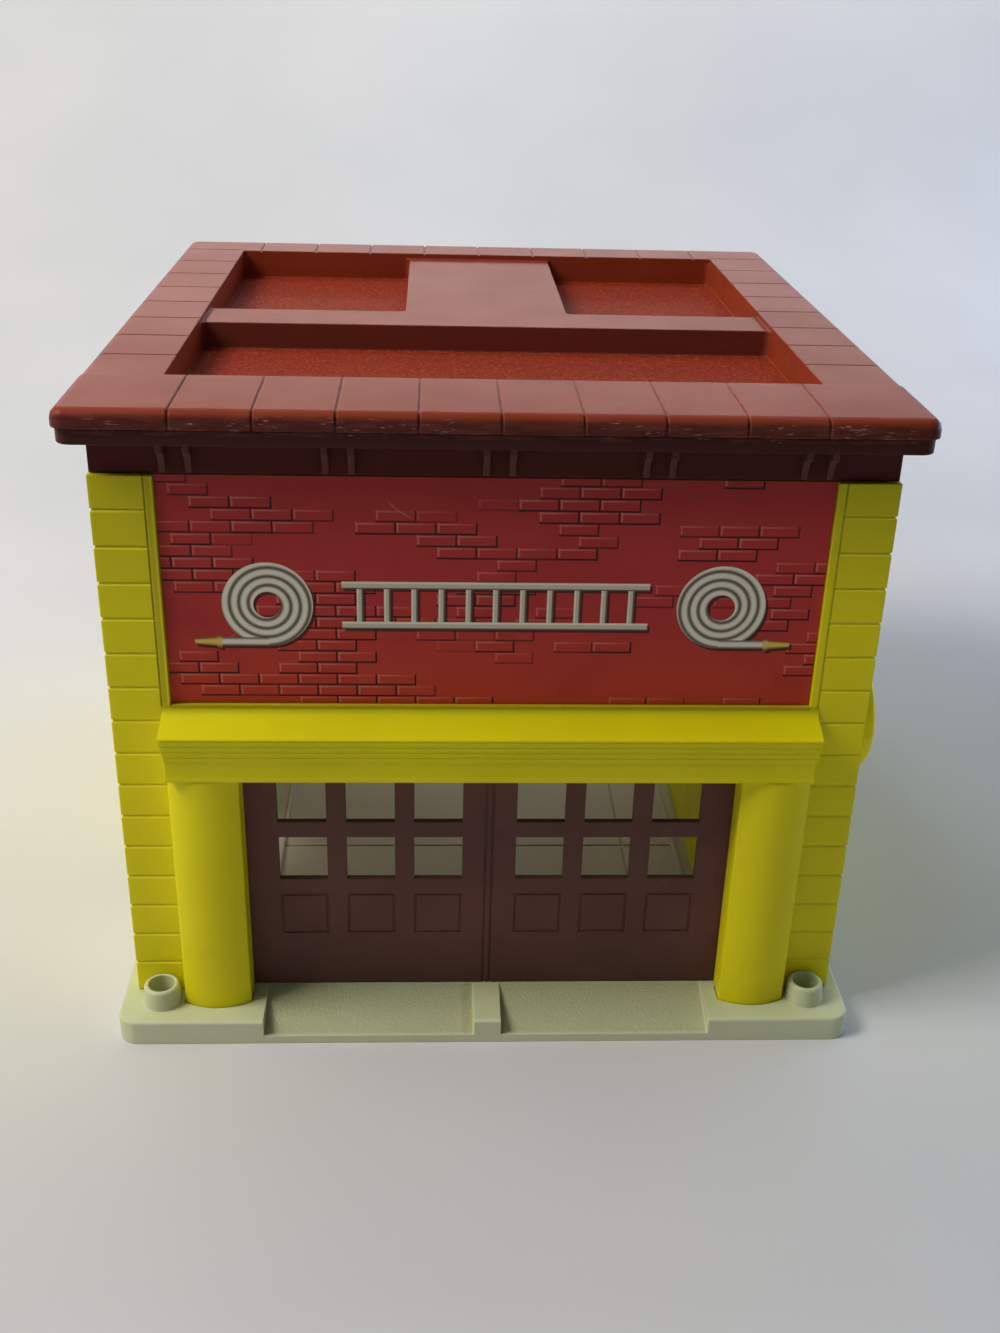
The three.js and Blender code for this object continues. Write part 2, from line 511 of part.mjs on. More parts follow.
// Base tray: ramps, kerb, sockets, column seats and floor lines above, pockets between ribs below
function makeBase() {
  const half = BASE_WIDTH / 2;
  const plan = roundedRectangle(-half, half, 0, BASE_DEPTH, BASE_CORNER_RADIUS);
  let base = slabWithRoundTop(plan, 0, BASE_HEIGHT, BASE_EDGE_ROUND, BASE_EDGE_ROUND);

  const rampCut = outline([
    [-CUT_OVERRUN, RAMP_LIP],
    [0, RAMP_LIP],
    [RAMP_BACK_Y, BASE_HEIGHT],
    [RAMP_BACK_Y, BASE_HEIGHT + CUT_OVERRUN],
    [-CUT_OVERRUN, BASE_HEIGHT + CUT_OVERRUN],
  ]);
  for (const side of [-1, 1]) {
    base = cut(base, beamOf(rampCut, side * KERB_HALF_WIDTH, side * DRIVE_OUTER_X));
  }

  const floorZ = BASE_HEIGHT - LANE_GROOVE_DEPTH;
  const grooveTop = BASE_HEIGHT + CUT_OVERRUN;
  const laneFrontY = DOOR_FRONT_Y + DOOR_THICKNESS + LANE_GROOVE_WIDTH;
  const laneBackY = WALL_BACK_Y;
  const halfGroove = LANE_GROOVE_WIDTH / 2;
  for (const side of [-1, 1]) {
    const x = side * LANE_X;
    base = cut(base, block(x - halfGroove, x + halfGroove, laneFrontY, laneBackY, floorZ, grooveTop));
  }
  const crossFront = LANE_CROSS_Y - halfGroove;
  const crossBack = LANE_CROSS_Y + halfGroove;
  base = cut(base, block(-CURB_X, CURB_X, crossFront, crossBack, floorZ, grooveTop));

  const pocketTop = BASE_HEIGHT - BASE_SKIN;
  const pocketFrontY = RAMP_BACK_Y + BASE_RIB;
  const pitchX = (BASE_WIDTH - 2 * BASE_RIM + BASE_RIB) / POCKET_COLUMNS;
  const pitchY = (BASE_DEPTH - BASE_RIM - pocketFrontY + BASE_RIB) / POCKET_ROWS;
  const bossRadius = SCREW_HEAD_RADIUS + 2 * BASE_RIB;
  const keep = baseScrewPlaces.map(([x, y]) =>
    rodOnZ(bossRadius, -CUT_OVERRUN, BASE_HEIGHT, x, y, SCREW_SIDES));
  keep.push(rodOnZ(FOOT_PAD_RADIUS, -CUT_OVERRUN, BASE_HEIGHT, 0, BASE_DEPTH / 2));
  for (let column = 0; column < POCKET_COLUMNS; column += 1) {
    for (let row = 0; row < POCKET_ROWS; row += 1) {
      const x = BASE_RIM - half + column * pitchX;
      const y = pocketFrontY + row * pitchY;
      const pocket = block(x, x + pitchX - BASE_RIB, y, y + pitchY - BASE_RIB, -CUT_OVERRUN, pocketTop);
      base = cut(base, cut(pocket, keep));
    }
  }

  for (const side of [-1, 1]) {
    const curbInner = side * (CURB_X - CURB_WIDTH / 2);
    const curbOuter = side * (CURB_X + CURB_WIDTH / 2);
    const curbTop = BASE_HEIGHT + CURB_HEIGHT;
    const curb = block(curbInner, curbOuter, CURB_FRONT_Y, laneBackY, BASE_HEIGHT - CURB_HEIGHT, curbTop);
    const topZ = BASE_HEIGHT + SOCKET_HEIGHT;
    const post = turnedOnZ([
      [0, BASE_HEIGHT - CUT_OVERRUN],
      [SOCKET_FOOT_RADIUS, BASE_HEIGHT - CUT_OVERRUN],
      [SOCKET_FOOT_RADIUS, BASE_HEIGHT],
      [SOCKET_TOP_RADIUS, topZ - SOCKET_LIP_ROUND],
      [SOCKET_TOP_RADIUS - SOCKET_LIP_ROUND, topZ],
      [0, topZ],
    ], side * SOCKET_X, SOCKET_Y);
    const boreFloor = topZ - SOCKET_BORE_DEPTH;
    const bore = rodOnZ(SOCKET_BORE_RADIUS, boreFloor, topZ + CUT_OVERRUN, side * SOCKET_X, SOCKET_Y);
    const postReach = 2 * SOCKET_FOOT_RADIUS;
    const pierSpace = block(
      side * (SOCKET_X - postReach), side * (SOCKET_X + postReach),
      WALL_FRONT_Y - FIT_GAP, WALL_FRONT_Y + postReach,
      BASE_HEIGHT, topZ + CUT_OVERRUN,
    );
    const seat = columnOutline(side * COLUMN_X, FIT_GAP, WALL_FRONT_Y);
    const seatCut = towerOf(seat, BASE_HEIGHT - COLUMN_SEAT_DEPTH, grooveTop, COLUMN_BOW_STEPS);
    base = cut(join(base, curb, cut(post, pierSpace)), bore, seatCut);
  }

  for (const [x, y] of baseScrewPlaces) {
    const headTop = BASE_SKIN + SCREW_HEAD_HEIGHT;
    const recess = rodOnZ(SCREW_HEAD_RADIUS + FIT_GAP, -CUT_OVERRUN, headTop, x, y, SCREW_SIDES);
    base = cut(base, recess, screwHoleOnZ(x, y, headTop - CUT_OVERRUN, grooveTop));
  }
  return base;
}

// V-shaped joints between the moulded corner stones, cut into both faces of a pier
function quoinGrooves(side) {
  const outerX = BODY_HALF;
  const wedgeOnFace = (depth) => [
    [-depth, 0],
    [CUT_OVERRUN, 0],
    [CUT_OVERRUN, -QUOIN_GROOVE_HEIGHT],
    [0, -QUOIN_GROOVE_HEIGHT],
  ];
  const grooves = [];
  const firstZ = WALL_TOP_Z - TOP_QUOIN_HEIGHT;
  const count = Math.floor((firstZ - WALL_FOOT_Z) / QUOIN_PITCH);
  for (let i = 0; i <= count; i += 1) {
    const z = firstZ - i * QUOIN_PITCH;
    if (z - QUOIN_GROOVE_HEIGHT < WALL_FOOT_Z + QUOIN_GROOVE_HEIGHT) continue;
    const cross = wedgeOnFace(QUOIN_GROOVE_DEPTH);
    const onFront = outline(cross.map(([out, up]) => [WALL_FRONT_Y - out, z + up]));
    const onBack = outline(cross.map(([out, up]) => [WALL_BACK_Y + out, z + up]));
    for (const shape of [onFront, onBack]) {
      grooves.push(beamOf(shape, side * (PIER_INNER_X - CUT_OVERRUN), side * (outerX + CUT_OVERRUN)));
    }
    const sideWedge = outline(cross.map(([out, up]) => [side * (outerX + out), z + up]));
    const reach = PIER_RETURN + CUT_OVERRUN;
    for (const startY of [WALL_FRONT_Y - CUT_OVERRUN, WALL_BACK_Y - PIER_RETURN]) {
      grooves.push(facadeBeam(sideWedge, startY, startY + reach));
    }
  }
  return grooves;
}

// An outline in (x, z) carried along Y from y0 to y1.
function facadeBeam(shape, y0, y1, curveSegments = ARCH_SIDES) {
  const options = { depth: Math.abs(y1 - y0), bevelEnabled: false, curveSegments };
  const geometry = new THREE.ExtrudeGeometry(shape, options).rotateX(Math.PI / 2);
  return solidFrom(geometry.translate(0, Math.max(y0, y1), 0));
}

// One side wall with its corner piers, bosses, roof tabs and the ledge under the upper floor
function makeSideWall(side) {
  const plan = [
    [PIER_INNER_X, WALL_FRONT_Y],
    [BODY_HALF, WALL_FRONT_Y],
    [BODY_HALF, WALL_FRONT_Y + PIER_RETURN],
    [SHEET_OUTER_X, WALL_FRONT_Y + PIER_RETURN],
    [SHEET_OUTER_X, WALL_BACK_Y - PIER_RETURN],
    [BODY_HALF, WALL_BACK_Y - PIER_RETURN],
    [BODY_HALF, WALL_BACK_Y],
    [PIER_INNER_X, WALL_BACK_Y],
    [PIER_INNER_X, WALL_BACK_Y - WALL_SKIN],
    [SHEET_INNER_X, WALL_BACK_Y - WALL_SKIN],
    [SHEET_INNER_X, FLANGE_BACK_Y],
    [PIER_INNER_X + TONGUE_ROOT, FLANGE_BACK_Y],
    [PIER_INNER_X + TONGUE_ROOT, TONGUE_BACK_Y],
    [TONGUE_INNER_X, TONGUE_BACK_Y],
    [TONGUE_INNER_X, TONGUE_FRONT_Y],
    [PIER_INNER_X, TONGUE_FRONT_Y],
  ];
  const shape = outline(plan.map(([x, y]) => [side * x, y]));
  let wall = cut(towerOf(shape, WALL_FOOT_Z, WALL_TOP_Z), quoinGrooves(side));

  const bossInner = BASE_SCREW_X - WALL_BOSS_SIZE / 2;
  const bossOuter = SHEET_INNER_X + WALL_SKIN / 2;
  for (const [x, y] of baseScrewPlaces.filter(([x]) => x * side > 0)) {
    const near = y - WALL_BOSS_SIZE / 2;
    const far = y + WALL_BOSS_SIZE / 2;
    const boss = block(side * bossInner, side * bossOuter, near, far, WALL_FOOT_Z, WALL_BOSS_TOP_Z);
    const hole = screwHoleOnZ(x, y, WALL_FOOT_Z - CUT_OVERRUN, BASE_SCREW_LENGTH + BASE_SKIN + CUT_OVERRUN);
    wall = cut(join(wall, boss), hole);
  }
  const tabInner = ROOF_SCREW_X - WALL_BOSS_SIZE / 2;
  for (const [x, y] of roofScrewPlaces.filter(([x]) => x * side > 0)) {
    const near = y - WALL_BOSS_SIZE / 2;
    const far = y + WALL_BOSS_SIZE / 2;
    const tabBottom = ROOF_TAB_TOP_Z - ROOF_TAB_THICKNESS;
    const tab = block(side * tabInner, side * bossOuter, near, far, tabBottom, ROOF_TAB_TOP_Z);
    const hole = screwHoleOnZ(x, y, tabBottom - CUT_OVERRUN, ROOF_TAB_TOP_Z + CUT_OVERRUN);
    wall = cut(join(wall, tab), hole);
  }
  const ledgeTop = DECK_BOTTOM_Z - FIT_GAP;
  const ledgeFront = (side > 0 ? HOUSING_BACK_Y : FLANGE_BACK_Y) + LEDGE_WIDTH;
  const ledgeInner = SHEET_INNER_X - LEDGE_WIDTH;
  const ledgeBottom = ledgeTop - LEDGE_HEIGHT;
  const ledge = block(side * ledgeInner, side * bossOuter, ledgeFront, DECK_BACK_Y, ledgeBottom, ledgeTop);
  return join(wall, ledge);
}

// An arched opening in (y, z), grown by margin on every side but the foot.
function archOutline(margin) {
  const halfWidth = ARCH_WIDTH / 2 + margin;
  const shape = new THREE.Shape();
  shape.moveTo(ARCH_CENTER_Y - halfWidth, WALL_FOOT_Z);
  shape.lineTo(ARCH_CENTER_Y + halfWidth, WALL_FOOT_Z);
  shape.lineTo(ARCH_CENTER_Y + halfWidth, ARCH_SPRING_Z);
  shape.absarc(ARCH_CENTER_Y, ARCH_SPRING_Z, halfWidth, 0, Math.PI, false);
  return shape;
}

// Left wall: the side wall with its arched doorway and raised trim
function makeLeftWall() {
  const trimRoot = -SHEET_INNER_X - WALL_SKIN / 2;
  const trim = beamOf(archOutline(ARCH_TRIM_WIDTH), trimRoot, -SHEET_OUTER_X - ARCH_TRIM_RELIEF);
  const through = beamOf(archOutline(0), -SHEET_INNER_X + CUT_OVERRUN, -BODY_HALF - CUT_OVERRUN);
  const foot = block(
    -SHEET_INNER_X + CUT_OVERRUN, -BODY_HALF - CUT_OVERRUN,
    ARCH_CENTER_Y - ARCH_WIDTH / 2, ARCH_CENTER_Y + ARCH_WIDTH / 2,
    WALL_FOOT_Z - CUT_OVERRUN, WALL_FOOT_Z + CUT_OVERRUN,
  );
  return cut(join(makeSideWall(-1), trim), through, foot);
}

// Right wall: the side wall with the bush that carries the dial's shaft
function makeRightWall() {
  const bushEnd = SHEET_INNER_X - WALL_BUSH_LENGTH;
  const bush = rodOnX(WALL_BUSH_RADIUS, bushEnd, SHEET_OUTER_X - WALL_SKIN / 2, DIAL_Y, DIAL_Z);
  const boreRadius = SHAFT_RADIUS + FIT_GAP;
  const bore = rodOnX(boreRadius, bushEnd - CUT_OVERRUN, BODY_HALF + CUT_OVERRUN, DIAL_Y, DIAL_Z);
  return cut(join(makeSideWall(1), bush), bore);
}

// Front wall: two jambs, the recessed sign field and the lugs that hold the door's rod
function makeFrontWall() {
  const halfWidth = PIER_INNER_X - FIT_GAP;
  const plateBack = WALL_FRONT_Y + FRONT_PLATE;
  const plate = block(-halfWidth, halfWidth, WALL_FRONT_Y, plateBack, WALL_FOOT_Z, WALL_TOP_Z);
  const backingHalf = TONGUE_INNER_X - FIT_GAP;
  const backingFront = plateBack - FRONT_PLATE / 2;
  const backing = block(
    -backingHalf, backingHalf, backingFront, plateBack + FRONT_BACKING, BACKING_BOTTOM_Z, WALL_TOP_Z,
  );
  const doorway = block(
    -DOORWAY_HALF_WIDTH, DOORWAY_HALF_WIDTH,
    WALL_FRONT_Y - CUT_OVERRUN, plateBack + CUT_OVERRUN,
    WALL_FOOT_Z - CUT_OVERRUN, BARREL_SLOT_TOP_Z,
  );
  const slotHalf = DOOR_HALF_WIDTH + 2 * FIT_GAP;
  const barrelSlot = block(
    -slotHalf, slotHalf,
    WALL_FRONT_Y - CUT_OVERRUN, plateBack + CUT_OVERRUN,
    DOORWAY_TOP_Z, BARREL_SLOT_TOP_Z,
  );
  const signHalf = SIGN_HALF_WIDTH + FIT_GAP;
  const recessBack = WALL_FRONT_Y + SIGN_SETBACK + SIGN_SHEET + GLUE_GAP;
  const recess = block(
    -signHalf, signHalf,
    WALL_FRONT_Y - CUT_OVERRUN, recessBack,
    SIGN_BOTTOM_Z - FIT_GAP, WALL_TOP_Z + CUT_OVERRUN,
  );
  let wall = cut(join(plate, backing), doorway, barrelSlot, recess);
  for (const side of [-1, 1]) {
    const inner = side * slotHalf;
    const outer = side * (slotHalf + LUG_WIDTH);
    const lug = block(
      inner, outer,
      WALL_FRONT_Y + FRONT_PLATE / 2, DOOR_AXIS_Y + LUG_BACK_REACH,
      DOOR_AXIS_Z - LUG_HALF_HEIGHT, DOOR_AXIS_Z + LUG_HALF_HEIGHT,
    );
    const eyeStart = Math.min(inner, outer) - CUT_OVERRUN;
    const eyeEnd = Math.max(inner, outer) + CUT_OVERRUN;
    const eye = rodOnX(DOOR_ROD_RADIUS + FIT_GAP, eyeStart, eyeEnd, DOOR_AXIS_Y, DOOR_AXIS_Z, SCREW_SIDES);
    wall = cut(join(wall, lug), eye);
  }
  return wall;
}

// Canopy: sloping top, stepped ribs that return round its ends, plain band and a soffit
function makeCanopy() {
  const profile = [
    [CANOPY_FASCIA_Y - CANOPY_BEAD, DOORWAY_TOP_Z],
    [CANOPY_FASCIA_Y - CANOPY_BEAD, DOORWAY_TOP_Z + 2 * CANOPY_BEAD],
    [CANOPY_FASCIA_Y, DOORWAY_TOP_Z + 3 * CANOPY_BEAD],
    [CANOPY_FASCIA_Y, CANOPY_BAND_TOP_Z],
  ];
  const ribRun = (CANOPY_FASCIA_Y - CANOPY_RIDGE_Y) / (CANOPY_RIB_COUNT + 1);
  for (let rib = 0; rib < CANOPY_RIB_COUNT; rib += 1) {
    const y = CANOPY_FASCIA_Y - rib * ribRun;
    const z = CANOPY_BAND_TOP_Z + rib * CANOPY_RIB_PITCH;
    profile.push([y - CANOPY_RIB_RELIEF, z]);
    profile.push([y - ribRun, z + CANOPY_RIB_PITCH / 2]);
    profile.push([y - ribRun, z + CANOPY_RIB_PITCH]);
  }
  const ridgeFootZ = CANOPY_RIDGE_Z - CANOPY_DROP;
  profile.push([CANOPY_RIDGE_Y, ridgeFootZ]);
  profile.push([CANOPY_RIDGE_Y, ridgeFootZ + CANOPY_DROP / 2]);
  const rings = profile.map(([y, z]) => {
    const x = CANOPY_HALF_WIDTH - y + CANOPY_RIDGE_Y;
    return [[-x, y, z], [x, y, z], [x, CANOPY_BACK_Y, z], [-x, CANOPY_BACK_Y, z]];
  });

  const coveStart = CANOPY_BACK_Y - CANOPY_COVE_RADIUS;
  const top = outline([
    [CANOPY_BACK_Y, ridgeFootZ],
    [CANOPY_RIDGE_Y, ridgeFootZ],
    [CANOPY_RIDGE_Y, CANOPY_RIDGE_Z],
    [coveStart, CANOPY_TOP_Z - CANOPY_COVE_RADIUS / 2],
  ]);
  top.quadraticCurveTo(CANOPY_BACK_Y, CANOPY_TOP_Z, CANOPY_BACK_Y, CANOPY_TOP_Z + CANOPY_COVE_RADIUS);
  const soffitHalf = DOORWAY_HALF_WIDTH - FIT_GAP;
  const soffit = block(
    -soffitHalf, soffitHalf,
    CANOPY_BACK_Y - SOFFIT_REACH, CANOPY_BACK_Y + SOFFIT_REACH,
    DOORWAY_TOP_Z, DOORWAY_TOP_Z + SOFFIT_THICKNESS,
  );
  return join(stackOf(rings), beamOf(top, -CANOPY_HALF_WIDTH, CANOPY_HALF_WIDTH, BEVEL_STEPS), soffit);
}

function makeColumn(side) {
  const shape = columnOutline(side * COLUMN_X, 0, CANOPY_BACK_Y);
  const footZ = BASE_HEIGHT - COLUMN_SEAT_DEPTH + FIT_GAP;
  return towerOf(shape, footZ, DOORWAY_TOP_Z - FIT_GAP, COLUMN_BOW_STEPS);
}

function makeSign() {
  const front = WALL_FRONT_Y + SIGN_SETBACK;
  return block(-SIGN_HALF_WIDTH, SIGN_HALF_WIDTH, front, front + SIGN_SHEET, SIGN_BOTTOM_Z, SIGN_TOP_Z);
}

// Garage door: one panel with two mock leaves, open windows, sunk panels and a hinge barrel
function makeDoor() {
  const back = DOOR_FRONT_Y + DOOR_THICKNESS;
  const panel = block(-DOOR_HALF_WIDTH, DOOR_HALF_WIDTH, DOOR_FRONT_Y, back, DOOR_BOTTOM_Z, DOOR_AXIS_Z);
  const barrel = rodOnX(DOOR_BARREL_RADIUS, -DOOR_HALF_WIDTH, DOOR_HALF_WIDTH, DOOR_AXIS_Y, DOOR_AXIS_Z);
  const reach = DOOR_HALF_WIDTH + CUT_OVERRUN;
  const bore = rodOnX(DOOR_ROD_RADIUS + FIT_GAP, -reach, reach, DOOR_AXIS_Y, DOOR_AXIS_Z, SCREW_SIDES);
  const tools = [bore];
  const grooveBack = DOOR_FRONT_Y + PANEL_GROOVE_DEPTH;
  for (const side of [-1, 1]) {
    for (let column = 0; column < WINDOW_COLUMNS; column += 1) {
      const near = side * (WINDOW_FIRST_X + column * WINDOW_PITCH_X);
      const far = near + side * WINDOW_WIDTH;
      for (let row = 0; row < WINDOW_ROWS; row += 1) {
        const z = WINDOW_BOTTOM_Z + row * WINDOW_PITCH_Z;
        tools.push(block(near, far, DOOR_FRONT_Y - CUT_OVERRUN, back + CUT_OVERRUN, z, z + WINDOW_HEIGHT));
      }
      const ring = cut(
        block(
          near, far,
          DOOR_FRONT_Y - CUT_OVERRUN, grooveBack,
          PANEL_BOTTOM_Z, PANEL_BOTTOM_Z + PANEL_HEIGHT,
        ),
        block(
          near + side * PANEL_GROOVE, far - side * PANEL_GROOVE,
          DOOR_FRONT_Y - 2 * CUT_OVERRUN, back,
          PANEL_BOTTOM_Z + PANEL_GROOVE, PANEL_BOTTOM_Z + PANEL_HEIGHT - PANEL_GROOVE,
        ),
      );
      tools.push(ring);
    }
    const stripEdge = side * (MEETING_STRIP_WIDTH / 2);
    const stripOut = stripEdge + side * PANEL_GROOVE;
    tools.push(block(
      stripEdge, stripOut, DOOR_FRONT_Y - CUT_OVERRUN, grooveBack,
      DOOR_BOTTOM_Z - CUT_OVERRUN, DOOR_AXIS_Z - DOOR_BARREL_RADIUS,
    ));
  }
  return cut(join(panel, barrel), tools);
}

function makeDoorRod() {
  const reach = DOOR_HALF_WIDTH + 2 * FIT_GAP + LUG_WIDTH;
  return rodOnX(DOOR_ROD_RADIUS, -reach, reach, DOOR_AXIS_Y, DOOR_AXIS_Z, SCREW_SIDES);
}

// Upper floor: a deck notched round the bell housing, with a stiffening lip at its open edge
function makeUpperFloor() {
  const half = SHEET_INNER_X - FIT_GAP;
  const notchX = HOUSING_FACE_X - FIT_GAP;
  const notchY = HOUSING_BACK_Y + FIT_GAP;
  const frontY = TONGUE_BACK_Y + FIT_GAP;
  const plan = outline([
    [-half, frontY],
    [notchX, frontY],
    [notchX, notchY],
    [half, notchY],
    [half, DECK_BACK_Y],
    [-half, DECK_BACK_Y],
  ]);
  const lipHalf = half - LEDGE_WIDTH - FIT_GAP;
  const deckTop = DECK_BOTTOM_Z + DECK_SKIN;
  const lip = block(
    -lipHalf, lipHalf,
    DECK_BACK_Y - DECK_LIP_WIDTH, DECK_BACK_Y,
    DECK_BOTTOM_Z - DECK_LIP_DROP, deckTop,
  );
  return join(towerOf(plan, DECK_BOTTOM_Z, deckTop), lip);
}

// Bell housing: a tall box round the bell with a low bench behind it, open to the wall and the floor
function makeBellHousing() {
  const faceX = HOUSING_FACE_X;
  const wallSideX = SHEET_INNER_X - FIT_GAP;
  const tall = block(faceX, wallSideX, HOUSING_FRONT_Y, HOUSING_BACK_Y, WALL_FOOT_Z, HOUSING_TOP_Z);
  const low = block(faceX, wallSideX, HOUSING_BACK_Y - HOUSING_SKIN, BENCH_BACK_Y, WALL_FOOT_Z, BENCH_TOP_Z);
  const insideX = faceX + HOUSING_SKIN;
  const outX = wallSideX + CUT_OVERRUN;
  const belowZ = WALL_FOOT_Z - CUT_OVERRUN;
  const hollows = [
    block(
      insideX, outX,
      HOUSING_FRONT_Y + HOUSING_SKIN, HOUSING_BACK_Y - HOUSING_SKIN,
      belowZ, HOUSING_TOP_Z - HOUSING_SKIN,
    ),
    block(
      insideX, outX,
      HOUSING_BACK_Y - 2 * HOUSING_SKIN, BENCH_BACK_Y - HOUSING_SKIN,
      belowZ, BENCH_TOP_Z - HOUSING_SKIN,
    ),
  ];
  const rootX = faceX + HOUSING_SKIN / 2;
  const post = rodOnX(GONG_POST_RADIUS, rootX, GONG_CROWN_X - FIT_GAP, DIAL_Y, DIAL_Z);
  const pilotEnd = GONG_CROWN_X + CUT_OVERRUN;
  const pilot = rodOnX(SCREW_HOLE_RADIUS, rootX, pilotEnd, DIAL_Y, DIAL_Z, SCREW_SIDES);
  return cut(join(cut(join(tall, low), hollows), post), pilot);
}

// Gong: a dome with a flat crown and a rolled-out rim, open towards the wall
function makeGong() {
  const outer = [];
  const inner = [];
  for (let step = 0; step <= GONG_CURVE_STEPS; step += 1) {
    const angle = (step / GONG_CURVE_STEPS) * (Math.PI / 2);
    const depth = Math.sin(angle);
    const narrowing = Math.sqrt(1 - depth * depth * depth);
    outer.push([GONG_RIM_RADIUS * narrowing, GONG_RIM_X - GONG_DEPTH * depth]);
    inner.push([(GONG_RIM_RADIUS - GONG_SKIN) * narrowing, GONG_RIM_X - (GONG_DEPTH - GONG_SKIN) * depth]);
  }
  const lastOuter = outer.pop();
  const lastInner = inner.pop();
  const points = [
    [GONG_RIM_RADIUS - GONG_SKIN, GONG_RIM_X + GONG_SKIN],
    [GONG_RIM_RADIUS + GONG_FLARE, GONG_RIM_X + GONG_SKIN],
    [GONG_RIM_RADIUS + GONG_FLARE, GONG_RIM_X],
    ...outer,
    [GONG_HOLE_RADIUS, lastOuter[1]],
    [GONG_HOLE_RADIUS, lastInner[1]],
    ...inner.reverse(),
    [GONG_RIM_RADIUS - GONG_SKIN, GONG_RIM_X + GONG_SKIN],
  ];
  return turnedOnX(points, DIAL_Y, DIAL_Z);
}

// Screw through the gong's crown into the housing's post, with its head inside the gong
function makeGongScrew() {
  const headX = GONG_CROWN_X + GONG_SKIN + FIT_GAP;
  const points = [
    [0, headX - GONG_SCREW_LENGTH],
    [SCREW_RADIUS, headX - GONG_SCREW_LENGTH],
    [SCREW_RADIUS, headX],
    [SCREW_HEAD_RADIUS, headX],
    [SCREW_HEAD_RADIUS, headX + SCREW_HEAD_HEIGHT],
    [0, headX + SCREW_HEAD_HEIGHT],
  ];
  return turnedOnX(points, DIAL_Y, DIAL_Z, SCREW_SIDES);
}

// Alarm dial: a rounded wheel with a dished face and a finger bar across it
function makeDial() {
  const backX = DIAL_BACK_X;
  const faceX = DIAL_FACE_X;
  const points = [[0, backX], [DIAL_RADIUS - DIAL_ROUND, backX]];
  for (let step = 1; step <= BEVEL_STEPS; step += 1) {
    const angle = (step / BEVEL_STEPS) * (Math.PI / 2);
    points.push([
      DIAL_RADIUS - DIAL_ROUND * (1 - Math.sin(angle)),
      backX + DIAL_ROUND * (1 - Math.cos(angle)),
    ]);
  }
  for (let step = 0; step <= BEVEL_STEPS; step += 1) {
    const angle = (step / BEVEL_STEPS) * (Math.PI / 2);
    points.push([
      DIAL_RADIUS - DIAL_ROUND * (1 - Math.cos(angle)),
      faceX - DIAL_ROUND * (1 - Math.sin(angle)),
    ]);
  }
  const dishX = faceX - DIAL_DISH_DEPTH;
  points.push([DIAL_DISH_RADIUS, faceX], [DIAL_DISH_RADIUS - DIAL_DISH_DEPTH / 2, dishX], [0, dishX]);
  let dial = turnedOnX(points, DIAL_Y, DIAL_Z, 2 * ROUND_SIDES);
  const gripHalf = DIAL_GRIP_WIDTH / 2;
  dial = join(dial, block(
    dishX - CUT_OVERRUN, faceX,
    DIAL_Y - DIAL_DISH_RADIUS, DIAL_Y + DIAL_DISH_RADIUS,
    DIAL_Z - gripHalf, DIAL_Z + gripHalf,
  ));
  const socketEnd = backX + DIAL_SHAFT_SOCKET;
  const socket = rodOnX(SHAFT_RADIUS + FIT_GAP, backX - CUT_OVERRUN, socketEnd, DIAL_Y, DIAL_Z);
  return cut(dial, socket);
}

function makeDialShaft() {
  const outerX = DIAL_BACK_X + DIAL_SHAFT_SOCKET - FIT_GAP;
  return rodOnX(SHAFT_RADIUS, SHAFT_INNER_X, outerX, DIAL_Y, DIAL_Z);
}

// Push-on clip that keeps the shaft in its bush
function makeShaftClip() {
  const outerX = SHEET_INNER_X - WALL_BUSH_LENGTH - CLIP_RUNNING_GAP;
  const inner = SHAFT_RADIUS + FIT_GAP;
  const points = [
    [inner, outerX - CLIP_WIDTH],
    [CLIP_RADIUS, outerX - CLIP_WIDTH],
    [CLIP_RADIUS, outerX],
    [inner, outerX],
    [inner, outerX - CLIP_WIDTH],
  ];
  return turnedOnX(points, DIAL_Y, DIAL_Z);
}

// Carrier: a bar across the shaft's end with a pin hole at each tip
function makeCarrier() {
  const x0 = CARRIER_X;
  const x1 = CARRIER_X + CARRIER_THICKNESS;
  const bar = block(
    x0, x1,
    DIAL_Y - CARRIER_END_RADIUS, DIAL_Y + CARRIER_END_RADIUS,
    DIAL_Z - STRIKER_PIN_REACH, DIAL_Z + STRIKER_PIN_REACH,
  );
  const hub = rodOnX(SHAFT_RADIUS + CARRIER_THICKNESS, x0, x1 + CARRIER_THICKNESS, DIAL_Y, DIAL_Z);
  let carrier = join(bar, hub);
  for (const side of [-1, 1]) {
    const z = DIAL_Z + side * STRIKER_PIN_REACH;
    const pinHoleRadius = STRIKER_PIN_RADIUS + FIT_GAP;
    const pinHole = rodOnX(pinHoleRadius, x0 - CUT_OVERRUN, x1 + CUT_OVERRUN, DIAL_Y, z, SCREW_SIDES);
    carrier = cut(join(carrier, rodOnX(CARRIER_END_RADIUS, x0, x1, DIAL_Y, z)), pinHole);
  }
  const shaftHole = rodOnX(
    SHAFT_RADIUS + FIT_GAP, SHAFT_INNER_X - FIT_GAP, x1 + CARRIER_THICKNESS + CUT_OVERRUN, DIAL_Y, DIAL_Z,
  );
  return cut(carrier, shaftHole);
}

